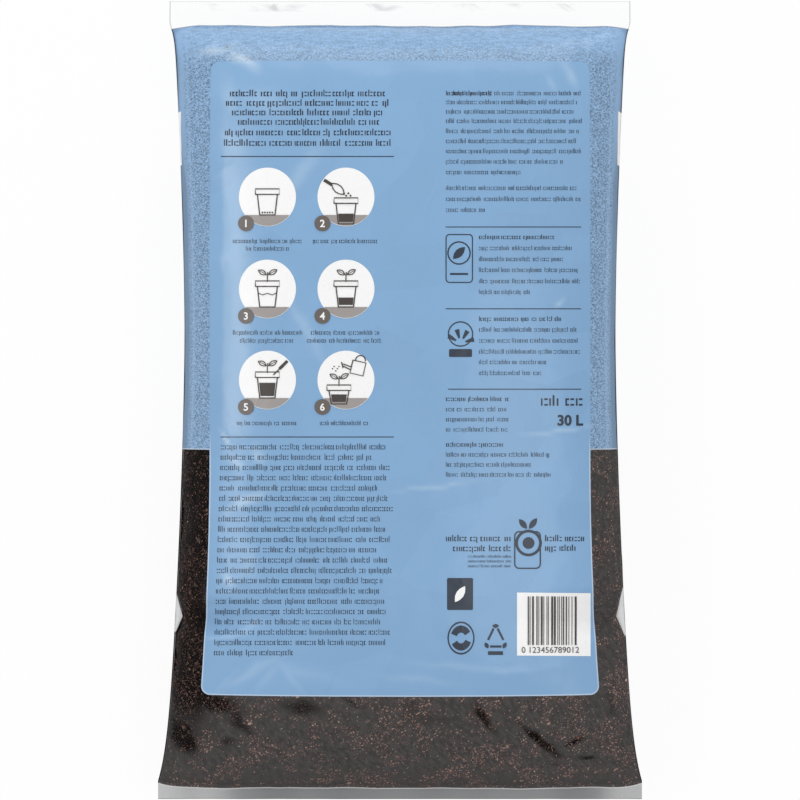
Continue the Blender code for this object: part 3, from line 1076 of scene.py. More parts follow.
def lay_on_film(shape, ground, lift):
    """Move a drawing from its pixels onto the film, and give it a thickness."""
    for point in shape.verts:
        place, normal = ground.seen_at(point.co.x, point.co.y)
        if place is None:
            raise RuntimeError(f"print misses the film at {point.co.x:.0f}, {point.co.y:.0f}")
        point.co = place + normal * lift
    shape.normal_update()
    facing_down = [face for face in shape.faces if face.normal.z < 0]
    bmesh.ops.reverse_faces(shape, faces=facing_down)
    bmesh.ops.solidify(shape, geom=shape.faces[:], thickness=INK_THICKNESS)
    bmesh.ops.recalc_face_normals(shape, faces=shape.faces)
    for edge in shape.edges:
        edge.smooth = edge.calc_face_angle(0) < SHARP_ANGLE


# Materials

MIX_FLOAT = (0, 2, 3, 0)      # indices of a Mix node's factor, A and B, and of its output
MIX_COLOUR = (0, 6, 7, 2)


class Graph:
    """The nodes of one material or group. An input takes a number, a colour or a socket."""

    def __init__(self, tree):
        self.tree = tree

    def add(self, kind, **settings):
        """A node of a kind, with its settings."""
        node = self.tree.nodes.new(kind)
        for name, value in settings.items():
            setattr(node, name, value)
        return node

    def feed(self, socket, value):
        """Link a socket to an input, or set the input's own value."""
        if isinstance(value, bpy.types.NodeSocket):
            self.tree.links.new(value, socket)
        elif hasattr(value, "__len__") and len(value) == 3 and len(socket.default_value) == 4:
            socket.default_value = (*value, 1)
        else:
            socket.default_value = value

    def math(self, operation, *values, clamp=False):
        """The result of a Math node."""
        node = self.add("ShaderNodeMath", operation=operation, use_clamp=clamp)
        for socket, value in zip(node.inputs, values):
            self.feed(socket, value)
        return node.outputs[0]

    def plus(self, first, second):
        """One number and another."""
        return self.math('ADD', first, second)

    def less(self, first, second):
        """One number less another."""
        return self.math('SUBTRACT', first, second)

    def times(self, first, second):
        """One number times another."""
        return self.math('MULTIPLY', first, second)

    def scaled(self, value, factor, base):
        """A number times a factor, with a base added."""
        return self.math('MULTIPLY_ADD', value, factor, base)

    def most(self, first, second):
        """The larger of two numbers."""
        return self.math('MAXIMUM', first, second)

    def size(self, value):
        """A number without its sign."""
        return self.math('ABSOLUTE', value)

    def rest(self, share):
        """What a share leaves of 1."""
        return self.less(1, share)

    def blend(self, share, low, high):
        """A number between two others."""
        return self.mixed('FLOAT', MIX_FLOAT, share, low, high)

    def colour(self, share, low, high):
        """A colour between two others."""
        return self.mixed('RGBA', MIX_COLOUR, share, low, high)

    def over(self, tone, mask, strength, colour):
        """A tone with a colour laid over it, at a strength, where the mask is 1."""
        return self.colour(self.times(mask, strength), tone, colour)

    def mixed(self, kind, places, share, low, high):
        """The output of a Mix node of one kind."""
        node = self.add("ShaderNodeMix", data_type=kind)
        for place, value in zip(places, (share, low, high)):
            self.feed(node.inputs[place], value)
        return node.outputs[places[3]]

    def ramp(self, value, start, end):
        """0 at the start and 1 at the end, smooth between them."""
        node = self.add("ShaderNodeMapRange", interpolation_type='SMOOTHSTEP')
        for name, given in (("Value", value), ("From Min", start), ("From Max", end)):
            self.feed(node.inputs[name], given)
        return node.outputs["Result"]

    def band(self, value, centre, half, soft):
        """1 within half of the centre, 0 outside it, with a soft edge."""
        return self.ramp(self.size(self.less(value, centre)), half + soft, half - soft)

    def noise(self, coords, scale, detail=3.0, rough=0.55, spread=0.0):
        """Noise from 0 to 1."""
        node = self.add("ShaderNodeTexNoise")
        for name, value in (("Vector", coords), ("Scale", scale), ("Detail", detail),
                            ("Roughness", rough), ("Distortion", spread)):
            self.feed(node.inputs[name], value)
        return node.outputs["Fac"]

    def cells(self, coords, scale):
        """The outputs of a cell pattern: distance and colour among them."""
        node = self.add("ShaderNodeTexVoronoi")
        self.feed(node.inputs["Vector"], coords)
        self.feed(node.inputs["Scale"], scale)
        return node.outputs

    def away(self, x, y, centre):
        """Distance of a place from a centre."""
        node = self.add("ShaderNodeVectorMath", operation='DISTANCE')
        self.feed(node.inputs[0], self.join(x, y, 0))
        self.feed(node.inputs[1], (*centre, 0))
        return node.outputs["Value"]

    def turned(self, coords, turn, stretch):
        """Coordinates for a pattern drawn out along a direction, in radians from X."""
        node = self.add("ShaderNodeMapping", vector_type='TEXTURE')
        self.feed(node.inputs["Vector"], coords)
        node.inputs["Rotation"].default_value = (0, 0, turn)
        node.inputs["Scale"].default_value = (1, 1 / stretch, 1)
        return node.outputs[0]

    def split(self, vector):
        """The X, Y and Z of a vector."""
        node = self.add("ShaderNodeSeparateXYZ")
        self.feed(node.inputs[0], vector)
        return node.outputs[:]

    def join(self, x, y, z):
        """A vector from its X, Y and Z."""
        node = self.add("ShaderNodeCombineXYZ")
        for socket, value in zip(node.inputs, (x, y, z)):
            self.feed(socket, value)
        return node.outputs[0]

    def bump(self, height, distance, strength=1.0, normal=None):
        """A normal from a height."""
        node = self.add("ShaderNodeBump")
        self.feed(node.inputs["Height"], height)
        self.feed(node.inputs["Distance"], distance)
        self.feed(node.inputs["Strength"], strength)
        if normal is not None:
            self.feed(node.inputs["Normal"], normal)
        return node.outputs["Normal"]

    def dress(self, shader, **values):
        """Feed a shader's inputs, by their names."""
        for name, value in values.items():
            self.feed(shader.inputs[name.replace("_", " ")], value)

    def place(self):
        """The Object coordinates."""
        return self.add("ShaderNodeTexCoord").outputs["Object"]

    def attribute(self, name):
        """A number stored on the piece's points."""
        return self.add("ShaderNodeAttribute", attribute_name=name).outputs["Fac"]

    def effect(self, group, **values):
        """A shared effect placed in this material, with its values by input name."""
        node = self.add("ShaderNodeGroup", node_tree=group)
        for name, value in values.items():
            self.feed(node.inputs[name.replace("_", " ")], value)
        return node.outputs


def new_material(name):
    """A material with its graph and its Principled shader."""
    material = bpy.data.materials.new(name)
    material.use_nodes = True
    shader = material.node_tree.nodes["Principled BSDF"]
    return material, Graph(material.node_tree), shader


def new_effect(name, inputs, outputs):
    """An empty shared effect with named inputs and outputs, its graph and its ends."""
    tree = bpy.data.node_groups.new(name, 'ShaderNodeTree')
    for label, kind in inputs:
        tree.interface.new_socket(label, in_out='INPUT', socket_type=kind)
    for label, kind in outputs:
        tree.interface.new_socket(label, in_out='OUTPUT', socket_type=kind)
    graph = Graph(tree)
    start = graph.add("NodeGroupInput").outputs
    end = graph.add("NodeGroupOutput").inputs
    return tree, graph, start, end


# Scales of the film's patterns, in features a metre
CRINKLES, RIDGES, GLOSS_PATCHES, FACETS = 60, 26, 14, 15
SEAM_WANDER, SEAL_PUCKERS = 15, 34
CLUSTERS, DUST_GRAIN = 44, 170
INK_GRAIN, INK_MOTTLE, INK_COMBS, INK_WEAR = 560, 400, 400, 900


def toned(colour, factor):
    """A colour times a factor, kept within white."""
    return [min(c * factor, 1) for c in colour]


def film_crinkle_effect():
    """Fine unevenness of stretched film: shallow facets and short hard creases."""
    tree, graph, start, end = new_effect(
        "Film Crinkle", [("Vector", 'NodeSocketVector')],
        [("Height", 'NodeSocketFloat'), ("Gloss", 'NodeSocketFloat')])
    x, y, z = graph.split(start["Vector"])
    stretched = graph.join(x, graph.times(y, 0.62), z)
    facets = graph.noise(stretched, CRINKLES, detail=1, rough=0.45, spread=0.6)
    ridges = graph.size(graph.less(graph.noise(stretched, RIDGES, 2, 0.5), 0.5))
    creases = graph.ramp(ridges, 0.022, 0.0)
    graph.feed(end["Height"], graph.scaled(creases, 0.22, facets))
    graph.feed(end["Gloss"], graph.noise(stretched, GLOSS_PATCHES, detail=2))
    return tree


def crumb_grain_effect():
    """Compost crumbs: heights, the gaps between them for painted shade, and warm fibre streaks, at
    a scale in crumbs a metre.
    """
    tree, graph, start, end = new_effect(
        "Crumb Grain", [("Vector", 'NodeSocketVector'), ("Scale", 'NodeSocketFloat')],
        [(name, 'NodeSocketFloat') for name in ("Height", "Gaps", "Fibre", "Tone")])
    coords, scale = start["Vector"], start["Scale"]
    crumbs = graph.cells(coords, scale)["Distance"]
    fine = graph.noise(coords, graph.times(scale, 2.2), 2, 0.65)
    graph.feed(end["Height"], graph.less(graph.times(fine, 0.9), crumbs))
    graph.feed(end["Gaps"], graph.ramp(graph.plus(crumbs, fine), 0.75, 1.15))
    slanted = graph.add("ShaderNodeMapping")
    graph.feed(slanted.inputs["Vector"], coords)
    slanted.inputs["Rotation"].default_value = (0.4, 0.3, 0.9)
    slanted.inputs["Scale"].default_value = (1.0, 4.0, 1.6)
    streaks = graph.noise(slanted.outputs[0], graph.times(scale, 0.5), 1, 0.6, 1.4)
    graph.feed(end["Fibre"], graph.ramp(streaks, 0.60, 0.72))
    graph.feed(end["Tone"], graph.noise(coords, graph.times(scale, 0.12), 2))
    return tree


def panel_distance(graph, x, y):
    """Distance outside the opaque panel, negative within it."""
    share = graph.math('MULTIPLY', graph.less(PANEL_WIDENS_FROM, y),
                       1 / (PANEL_WIDENS_FROM - PANEL_BOTTOM), clamp=True)
    half = graph.scaled(graph.times(share, share), PANEL_WIDENING, PANEL_HALF_WIDTH - PANEL_CORNER)
    side = graph.less(graph.size(x), half)
    middle = (PANEL_TOP + PANEL_BOTTOM) / 2
    reach = (PANEL_TOP - PANEL_BOTTOM) / 2 - PANEL_CORNER
    end = graph.less(graph.size(graph.less(y, middle)), reach)
    outside = graph.away(graph.most(side, 0), graph.most(end, 0), (0, 0))
    inside = graph.math('MINIMUM', graph.most(side, end), 0)
    return graph.less(graph.plus(outside, inside), PANEL_CORNER)


def contact_mask(graph, clusters, dust):
    """1 where compost is pressed to the film, 0 where dust and air lie between."""
    stray = graph.times(graph.ramp(clusters, 0.60, 0.76), 0.34)
    mask = graph.most(graph.attribute("contact"), stray)
    frayed = graph.scaled(graph.less(dust, 0.5), 0.42, mask)
    return graph.ramp(frayed, 0.08, 0.86)


def speck_layer(graph, coords, scale, share, radius):
    """Specks of dust on a clear film: a mask, and a random number for each speck."""
    cells = graph.cells(coords, scale)
    cell_x, cell_y, _cell_z = graph.split(cells["Color"])
    wide = graph.scaled(cell_y, radius * 0.7, radius * 0.3)
    within = graph.ramp(graph.less(cells["Distance"], wide), 0.06, -0.06)
    kept = graph.ramp(graph.plus(cell_x, share), 0.99, 1.01)
    return graph.times(within, kept), cell_y


SEAL_FROM_EDGE, SEAL_WIDTH = 0.0020, 0.0070
WHITE_FROM, WHITE_TO = 0.205, 0.252          # the front's white field along the bag
WHITE_TOP = (0.068, 0.066)                   # and its top above the floor
# Where parts of the film start and are in full: along the bag, from the foot seam, from the
# centre line, and for the ears in steps across, which are 1 at the crease and 2 at the edge
COMBED_PART, UPPER_PART = (0.288, 0.316), (0.180, 0.250)
NEAR_FOOT = (0.030, 0.008)
LIFTED_PART, CLEARER_SIDE = (0.200, 0.175), (0.110, 0.232)
EAR_LINE, EAR_GLOW = (1.90, 1.95), (1.42, 1.05)
VENT_PLACE, VENT_RADIUS = (-0.1505, 0.3075), 0.0030
CRISP = 0.0002                # half width of a printed edge
LINE_AWAY, LINE_HALF, LINE_SOFT = 0.0006, 0.0004, 0.0003    # pale line round printed fields
PALE_LINE = 0.45              # its strength
INK_ALPHA = 0.95
FILM_COAT, CLEAR_COAT = 0.55, 0.06
FILM_BUMP = 0.00055
# pale tone of the painted highlights: sheens, glints and the lamp's reflection on the film
GLINT_TONE = (0.74, 0.86, 0.96)
# tone of the painted shade along the side creases
EDGE_SHADE_TONE = (0.012, 0.011, 0.012)

Dust = namedtuple("Dust", "scale turn stretch share radius strength")
DUST_LAYERS = (
    Dust(900.0, 0.0, 1.0, 0.72, 0.52, 0.60),
    Dust(400.0, 0.6, 3.0, 0.42, 0.44, 0.85),
    Dust(340.0, -0.9, 3.2, 0.22, 0.38, 0.95),
    Dust(105.0, 0.4, 1.8, 0.09, 0.26, 1.00),
)


class FilmLooks:
    """The film's material in the making.

    Each step adds an area of the bag to its tone and to how solid it looks, over the areas
    before it.
    """

    def __init__(self, form, colours, crinkle):
        self.colours = colours
        self.material, self.graph, self.shader = new_material("printed_film")
        graph = self.graph
        self.coords = graph.place()
        self.x, self.y, self.z = graph.split(self.coords)
        self.across = graph.size(graph.attribute("across"))
        self.back = graph.ramp(graph.attribute("side"), -0.2, 0.2)
        self.fine = graph.effect(crinkle, Vector=self.coords)
        self.ink_edge = form.sizes.ink_edge
        self.near_foot = graph.ramp(self.y, *(form.foot_seam + step for step in NEAR_FOOT))
        self.from_edge = graph.less(HEADER_EDGE, graph.size(self.y))

    def lay(self, mask, strength, colour):
        """Lay a colour over the tone, at a strength, where the mask is 1."""
        self.tone = self.graph.over(self.tone, mask, strength, colour)

    def cover(self, mask, strength):
        """Make the film at least as solid as a mask at a strength."""
        self.solid = self.graph.most(self.solid, self.graph.times(mask, strength))

    def turn_into(self, mask, tone, solid):
        """Give the film another tone and alpha where the mask is 1."""
        self.tone = self.graph.colour(mask, self.tone, tone)
        self.solid = self.graph.blend(mask, self.solid, solid)

    def find_seams(self):
        """Where the loose film starts, past seams that wander a little into it."""
        graph, x, y = self.graph, self.x, self.y
        along = graph.attribute("along")
        along_x = graph.join(x, graph.times(y, 0.02), 0.0)
        wander = graph.ramp(graph.noise(along_x, SEAM_WANDER, detail=1, rough=0.5), 0.34, 0.66)
        mid_part = graph.ramp(graph.size(x), *LIFTED_PART)
        lifted = graph.times(graph.scaled(wander, 0.055, 0.035), mid_part)
        self.past_header = graph.less(along, lifted)
        self.past_foot = graph.less(graph.times(along, -1.0), graph.scaled(wander, 0.09, 0.09))
        self.header = graph.ramp(self.past_header, 1.0, 1.02)
        self.foot = graph.ramp(self.past_foot, 1.0, 1.03)
        self.body = graph.rest(graph.most(self.header, self.foot))
        self.wander = wander

    def find_print(self):
        """Where the panel and the blue ink lie, with the pale line round each."""
        graph, y, ink_edge = self.graph, self.y, self.ink_edge
        distance = panel_distance(graph, self.x, y)
        self.panel = graph.times(graph.ramp(distance, 0.00015, -0.00015), self.back)
        line = graph.times(graph.band(distance, -LINE_AWAY, LINE_HALF, LINE_SOFT), self.panel)
        self.panel_line = graph.times(line, graph.ramp(y, ink_edge + 0.02, ink_edge - 0.01))
        self.ink = graph.times(graph.ramp(y, ink_edge - CRISP, ink_edge + CRISP), self.body)
        self.ink_line = graph.times(
            graph.band(y, ink_edge + LINE_AWAY, LINE_HALF, LINE_SOFT), self.body)

    def add_clear_film(self):
        """Haze between the places where compost touches the film, and specks of dust."""
        graph, coords = self.graph, self.coords
        bark, straw, haze = self.colours.bark, self.colours.straw, self.colours.haze
        clusters = graph.noise(coords, CLUSTERS, detail=2, rough=0.6)
        dust = graph.noise(graph.turned(coords, -0.9, 1.8), DUST_GRAIN, detail=2, rough=0.6)
        contact = contact_mask(graph, clusters, dust)
        tone = graph.colour(graph.ramp(clusters, 0.35, 0.65),
                            [c * k for c, k in zip(haze, (1.0, 1.02, 0.98))],
                            [c * k for c, k in zip(haze, (1.0, 0.98, 1.0))])
        tone = graph.colour(graph.ramp(dust, 0.62, 0.34), tone, toned(haze, 0.74))
        tone = graph.over(tone, self.near_foot, 0.45, toned(haze, 0.70))
        alpha = graph.blend(contact, graph.blend(dust, 0.70, 0.86), 0.0)
        alpha = graph.blend(self.near_foot, alpha, 0.90)
        crowd = graph.blend(graph.ramp(clusters, 0.42, 0.62), 0.10, 1.0)
        crowd = graph.most(crowd, graph.times(contact, 0.4))
        self.specks = []
        specked = None
        for layer in DUST_LAYERS:
            mask, pick = speck_layer(
                graph, graph.turned(coords, layer.turn, layer.stretch), layer.scale,
                graph.times(crowd, layer.share), layer.radius)
            speck_tone = graph.colour(graph.ramp(pick, 0.55, 1.0), bark, straw)
            speck_tone = graph.over(speck_tone, contact, 0.7, toned(bark, 0.6))
            shown = graph.times(mask, graph.blend(pick, layer.strength * 0.4, layer.strength))
            tone = graph.colour(shown, tone, speck_tone)
            specked = shown if specked is None else graph.most(specked, shown)
            self.specks.append((mask, pick))
        specked = graph.times(specked, graph.blend(self.near_foot, 1.0, 0.5))
        self.tone, self.solid = tone, graph.most(alpha, specked)

    def add_blue_ink(self):
        """Blue ink on film that lies on the compost: grainy, and combed near the header, with
        painted light on the header shoulder and painted shade and highlights along the sides.
        """
        graph, coords, across = self.graph, self.coords, self.across
        colour = self.colours.ink
        light = toned(colour, 1.55)
        near_header = graph.ramp(self.y, *COMBED_PART)
        grains = graph.noise(graph.turned(coords, -0.5, 1.7), INK_GRAIN, detail=2, rough=0.65)
        self.mottle = graph.noise(graph.turned(coords, 0.5, 1.6), INK_MOTTLE, detail=1, rough=0.6)
        combs = graph.join(graph.times(self.x, 0.30), self.y, self.z)
        combed = graph.noise(combs, INK_COMBS, detail=2, rough=0.6)
        uneven = graph.blend(0.18, grains, self.mottle)
        uneven = graph.blend(graph.times(near_header, 0.42), uneven, combed)
        smooth_side = graph.ramp(across, 0.80, 0.88)
        grain_share = graph.blend(smooth_side, graph.ramp(uneven, 0.36, 0.64), 0.45)
        tone = graph.colour(grain_share, toned(colour, 0.60), light)
        dash, dash_pick = self.specks[1]
        dots = graph.times(dash, graph.ramp(dash_pick, 0.80, 0.84))
        tone = graph.over(tone, dots, 0.70, self.colours.text)
        # painted light: the shoulder at the header is lighter, as it faces the lamps
        tone = graph.over(tone, near_header, 0.42, toned(colour, 1.8))
        upper = graph.ramp(self.y, *UPPER_PART)
        # painted shade in a band along each side where the film turns down, and painted highlights
        # along a fold beside it and on the upper side
        side_from = graph.blend(upper, 0.83, 0.925)
        side_shade = graph.ramp(across, side_from, graph.plus(side_from, 0.04))
        tone = graph.over(tone, side_shade, 0.62, toned(colour, 0.66))
        fold_highlight = graph.times(graph.band(across, 0.800, 0.010, 0.016), 0.45)
        side_highlight = graph.times(
            graph.band(across, 0.870, 0.040, 0.025), graph.times(upper, 0.45))
        tone = graph.colour(graph.most(fold_highlight, side_highlight), tone, light)
        tone = graph.over(tone, self.ink_line, PALE_LINE, self.colours.white)
        self.turn_into(self.ink, tone, INK_ALPHA)

    def add_panel(self):
        """The opaque panel: flat facets of film, each made lighter or darker by a painted sheen,
        with painted highlights.
        """
        graph, colour = self.graph, self.colours.panel
        cells = graph.cells(graph.turned(self.coords, 0.5, 1.4), FACETS)
        facet, _facet_y, _facet_z = graph.split(cells["Color"])
        # painted sheen: each facet a little lighter or darker, as if it caught the light
        # differently
        facet_sheen = graph.blend(0.65, facet, self.fine["Gloss"])
        tone = graph.colour(facet_sheen, toned(colour, 0.94), toned(colour, 1.06))
        tone = graph.over(tone, self.panel_line, PALE_LINE, self.colours.white)
        self.tone = graph.colour(self.panel, self.tone, tone)
        # painted highlights where the film's folds catch the light, and the left lamp's reflection
        self.tone = graph.colour(graph.attribute("scuff"), self.tone, GLINT_TONE)
        self.solid = graph.most(self.solid, self.panel)

    def add_front_and_creases(self):
        """White field at the ends of the hidden front, and painted shade along the crease of each
        side.
        """
        graph, y = self.graph, self.y
        white = graph.times(graph.ramp(y, WHITE_FROM, WHITE_FROM + 2 * CRISP),
                            graph.ramp(y, WHITE_TO, WHITE_TO - 2 * CRISP))
        white = graph.times(white, graph.ramp(self.z, *WHITE_TOP))
        # painted shade: a dark line along each side's crease, where the film turns away
        crease = graph.times(graph.ramp(self.across, 0.975, 1.0), self.body)
        crease = graph.times(crease, graph.rest(graph.times(white, 0.85)))
        self.tone = graph.colour(white, self.tone, self.colours.white)
        self.lay(crease, 0.9, graph.colour(self.ink, EDGE_SHADE_TONE, toned(self.colours.ink, 0.22)))
        self.solid = graph.most(self.solid, crease)

    def add_ears(self):
        """Flat ears of film at the kinks."""
        graph, across, colour = self.graph, self.across, self.colours.ear
        ear = graph.times(graph.ramp(across, 1.0, 1.04),
                          graph.ramp(graph.attribute("kink"), 0.02, 0.10))
        line, glow = graph.ramp(across, *EAR_LINE), graph.ramp(across, *EAR_GLOW)
        tone = graph.colour(glow, colour, self.colours.white)
        tone = graph.colour(line, tone, toned(colour, 0.40))
        self.turn_into(ear, tone, graph.blend(graph.most(line, glow), 0.42, 0.90))

    def add_header_film(self):
        """Loose film at the header, with painted shade on the puckers of its pressed seal and
        along its seam.
        """
        graph, y, colour = self.graph, self.y, self.colours.loose
        seal = graph.band(self.from_edge, SEAL_FROM_EDGE + SEAL_WIDTH / 2, SEAL_WIDTH / 2, 0.0012)
        slanted = graph.join(graph.scaled(y, 0.8, self.x), graph.times(y, 1.6), 0.0)
        puckers = graph.noise(slanted, SEAL_PUCKERS, detail=2, rough=0.55, spread=0.5)
        # painted shade: the seal's puckers are greyer
        seal_shade = graph.times(seal, graph.ramp(puckers, 0.48, 0.74))
        edge_line = graph.times(graph.ramp(self.from_edge, 0.0009, 0.0003), 0.5)
        edge_line = graph.most(edge_line, graph.ramp(self.across, 1.0, 1.4))
        alpha = graph.most(graph.scaled(seal_shade, 0.26, 0.04), graph.times(edge_line, 0.5))
        tone = graph.colour(graph.most(seal_shade, edge_line), colour, toned(colour, 0.58))
        self.turn_into(self.header, tone, alpha)
        # painted shade: a dark line where the film turns down at the header seam
        seam_line = graph.band(self.past_header, 1.005, 0.020, 0.012)
        self.lay(seam_line, 0.45, toned(self.colours.ink, 0.45))
        self.cover(seam_line, 0.55)

    def add_foot_film(self):
        """Loose film at the foot, greyer and more solid in the middle, with a painted highlight
        along its seam.
        """
        graph, colour, wander = self.graph, self.colours.foot, self.wander
        from_middle = graph.size(graph.less(self.x, 0.010))
        to_side = graph.ramp(
            graph.scaled(graph.less(wander, 0.5), 0.03, from_middle), *CLEARER_SIDE)
        tone = graph.colour(wander, toned(colour, 0.90), toned(colour, 1.08))
        edge_line = graph.ramp(self.from_edge, 0.0010, 0.0004)
        tone = graph.over(tone, edge_line, 0.5, toned(colour, 0.35))
        alpha = graph.most(graph.blend(to_side, 0.85, 0.36), graph.times(edge_line, 0.6))
        self.turn_into(self.foot, tone, alpha)
        # painted highlight: a pale line along the foot seam
        seam_line = graph.band(self.past_foot, 1.045, 0.030, 0.02)
        self.lay(seam_line, 0.62, self.colours.white)
        self.cover(seam_line, 0.9)

    def add_vent(self):
        """Vent hole and its faint lip."""
        graph, radius = self.graph, VENT_RADIUS
        away = graph.away(self.x, self.y, VENT_PLACE)
        hole = graph.times(graph.ramp(away, radius * 0.42, radius * 0.34), self.back)
        lip = graph.band(away, radius * 0.62, radius * 0.14, 0.0002)
        self.vent_lip = graph.times(lip, self.back)
        self.lay(self.vent_lip, 0.25, self.colours.white)
        self.solid = graph.times(self.solid, graph.rest(graph.times(hole, 0.30)))

    def finish(self):
        """Feed the shader. The gloss fades where the film turns down to its sides and foot."""
        graph = self.graph
        turned = graph.most(graph.ramp(self.across, 0.78, 0.95), self.near_foot)
        gloss = graph.blend(graph.most(self.ink, self.panel), CLEAR_COAT, FILM_COAT)
        only_ink = graph.times(self.ink, graph.rest(self.panel))
        grain_height = graph.times(self.mottle, graph.scaled(only_ink, 0.5, 0.10))
        height = graph.scaled(grain_height, 0.9, self.fine["Height"])
        height = graph.plus(self.vent_lip, height)
        graph.dress(self.shader, Base_Color=self.tone, Alpha=self.solid,
                    Roughness=graph.blend(self.fine["Gloss"], 0.26, 0.46),
                    Specular_IOR_Level=0.0, Coat_Roughness=0.22,
                    Coat_Weight=graph.times(gloss, graph.blend(turned, 1.0, 0.12)),
                    Normal=graph.bump(height, FILM_BUMP))
        return self.material


def film_material(form, colours, crinkle):
    """Clear film with its blue print, hazy where compost dust lies behind it."""
    film = FilmLooks(form, colours, crinkle)
    for step in (film.find_seams, film.find_print, film.add_clear_film, film.add_blue_ink,
                 film.add_panel, film.add_front_and_creases, film.add_ears,
                 film.add_header_film, film.add_foot_film, film.add_vent):
        step()
    return film.finish()


def ink_material(name, colour, crinkle):
    """One printed ink, as glossy and as crinkled as the film that it lies on."""
    material, graph, shader = new_material(name)
    coords = graph.place()
    fine = graph.effect(crinkle, Vector=coords)
    worn = graph.noise(coords, INK_WEAR, detail=3, rough=0.6)
    tone = graph.colour(worn, toned(colour, 0.9), [min(c * 1.08 + 0.01, 1) for c in colour])
    graph.dress(shader, Base_Color=tone, Roughness=graph.blend(fine["Gloss"], 0.26, 0.48),
                Normal=graph.bump(fine["Height"], FILM_BUMP))
    return material


COARSE_CRUMBS, SMALL_CRUMBS, FLECK_CRUMBS = 330.0, 780.0, 1800.0     # crumbs a metre
SMALL_FIBRE_TONE, COARSE_FIBRE_TONE = (0.040, 0.016, 0.012), (0.052, 0.021, 0.016)
# near black painted shade in the compost's gaps
GAP_SHADE_TONE = (0.002, 0.0015, 0.0015)
MOIST_TONE = (0.03, 0.018, 0.013)
COMPOST_BUMP, FLECK_BUMP = 0.0012, 0.0003
FLECK_CELL = 0.004            # flecks closer together than this share a tone


def compost_material(colours, grain):
    """Moist dark compost with brown fibres, fine specks and painted black shade in the gaps
    between crumbs.
    """
    material, graph, shader = new_material("compost")
    coords = graph.place()
    coarse = graph.effect(grain, Vector=coords, Scale=COARSE_CRUMBS)
    small = graph.effect(grain, Vector=coords, Scale=SMALL_CRUMBS)
    dark = colours.compost
    tone = graph.colour(graph.ramp(coarse["Tone"], 0.3, 0.7), toned(dark, 0.14), toned(dark, 0.70))
    tone = graph.over(tone, small["Fibre"], 0.70, SMALL_FIBRE_TONE)
    tone = graph.over(tone, coarse["Fibre"], 0.55, COARSE_FIBRE_TONE)
    specks, pick = speck_layer(graph, graph.turned(coords, 0.8, 1.8), 800.0, 0.27, 0.46)
    speck_tone = graph.colour(
        graph.ramp(pick, 0.80, 1.0), toned(colours.bark, 0.48), toned(colours.straw, 0.62))
    tone = graph.over(tone, specks, 0.75, speck_tone)
    # painted shade: the gaps between crumbs are made nearly black
    tone = graph.over(tone, coarse["Gaps"], 0.9, GAP_SHADE_TONE)
    height = graph.scaled(small["Height"], 0.4, coarse["Height"])
    graph.dress(shader, Base_Color=tone, Roughness=graph.blend(coarse["Tone"], 0.62, 0.9),
                Specular_IOR_Level=0.12, Normal=graph.bump(height, COMPOST_BUMP))
    return material


def fleck_material(name, grain, tones):
    """Fibres or crumbs whose colour changes from one to the next."""
    material, graph, shader = new_material(name)
    coords = graph.place()
    pick = graph.add("ShaderNodeTexWhiteNoise", noise_dimensions='3D')
    snapped = graph.add("ShaderNodeVectorMath", operation='SNAP')
    graph.feed(snapped.inputs[0], coords)
    graph.feed(snapped.inputs[1], (FLECK_CELL,) * 3)
    graph.feed(pick.inputs["Vector"], snapped.outputs[0])
    tone = tones[0]
    for index, next_tone in enumerate(tones[1:], start=1):
        level = 1 - (1 - index / len(tones)) ** 1.7
        share = graph.ramp(pick.outputs["Value"], level - 0.02, level + 0.02)
        tone = graph.colour(share, tone, next_tone)
    crumbs = graph.effect(grain, Vector=coords, Scale=FLECK_CRUMBS)
    tone = graph.over(tone, crumbs["Tone"], 0.5, MOIST_TONE)
    graph.dress(shader, Base_Color=tone, Roughness=graph.blend(crumbs["Tone"], 0.5, 0.85),
                Normal=graph.bump(crumbs["Height"], FLECK_BUMP))
    return material


# The last tone of each kind is the rarest
FIBRE_TONES = ((0.090, 0.038, 0.028), (0.050, 0.023, 0.018), (0.140, 0.070, 0.050),
               (0.200, 0.125, 0.090), (0.420, 0.330, 0.260))
CHIP_TONES = ((0.060, 0.025, 0.019), (0.036, 0.019, 0.016), (0.110, 0.045, 0.032),
              (0.260, 0.130, 0.085))
GRAIN_TONES = ((0.110, 0.052, 0.038), (0.190, 0.120, 0.090), (0.300, 0.240, 0.190),
               (0.500, 0.450, 0.390))

CAMERA_HEIGHT = 3.2
SEAM_PLANE = 0.052
SENSOR = 36.0


def crinkle_effect():
    """The film's fine unevenness, shared by film and inks."""
    return bpy.data.node_groups.get("Film Crinkle") or film_crinkle_effect()


def grain_effect():
    """The compost's grain, shared by compost and flecks."""
    return bpy.data.node_groups.get("Crumb Grain") or crumb_grain_effect()


def film_ground():
    """The surface of the finished film sleeve."""
    sleeve = bpy.data.objects.get("film_sleeve")
    if sleeve is None:
        raise RuntimeError("the film sleeve comes first")
    shape = bmesh.new()
    shape.from_mesh(sleeve.data)
    ground = Ground(shape)
    shape.free()
    return ground


class COMPOSTBAG_OT_film_sleeve(bpy.types.Operator):
    """Model the printed film sleeve round the compost"""

    bl_idname = "compostbag.film_sleeve"
    bl_label = "Film Sleeve"

    def execute(self, context):
        form = BagForm(context.scene.compost_bag_sizes)
        colours = context.scene.compost_bag_colours
        material = film_material(form, colours, crinkle_effect())
        sleeve = finished_object("film_sleeve", build_sleeve(form), material)
        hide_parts(FILM_NODE)
        return {'FINISHED'}


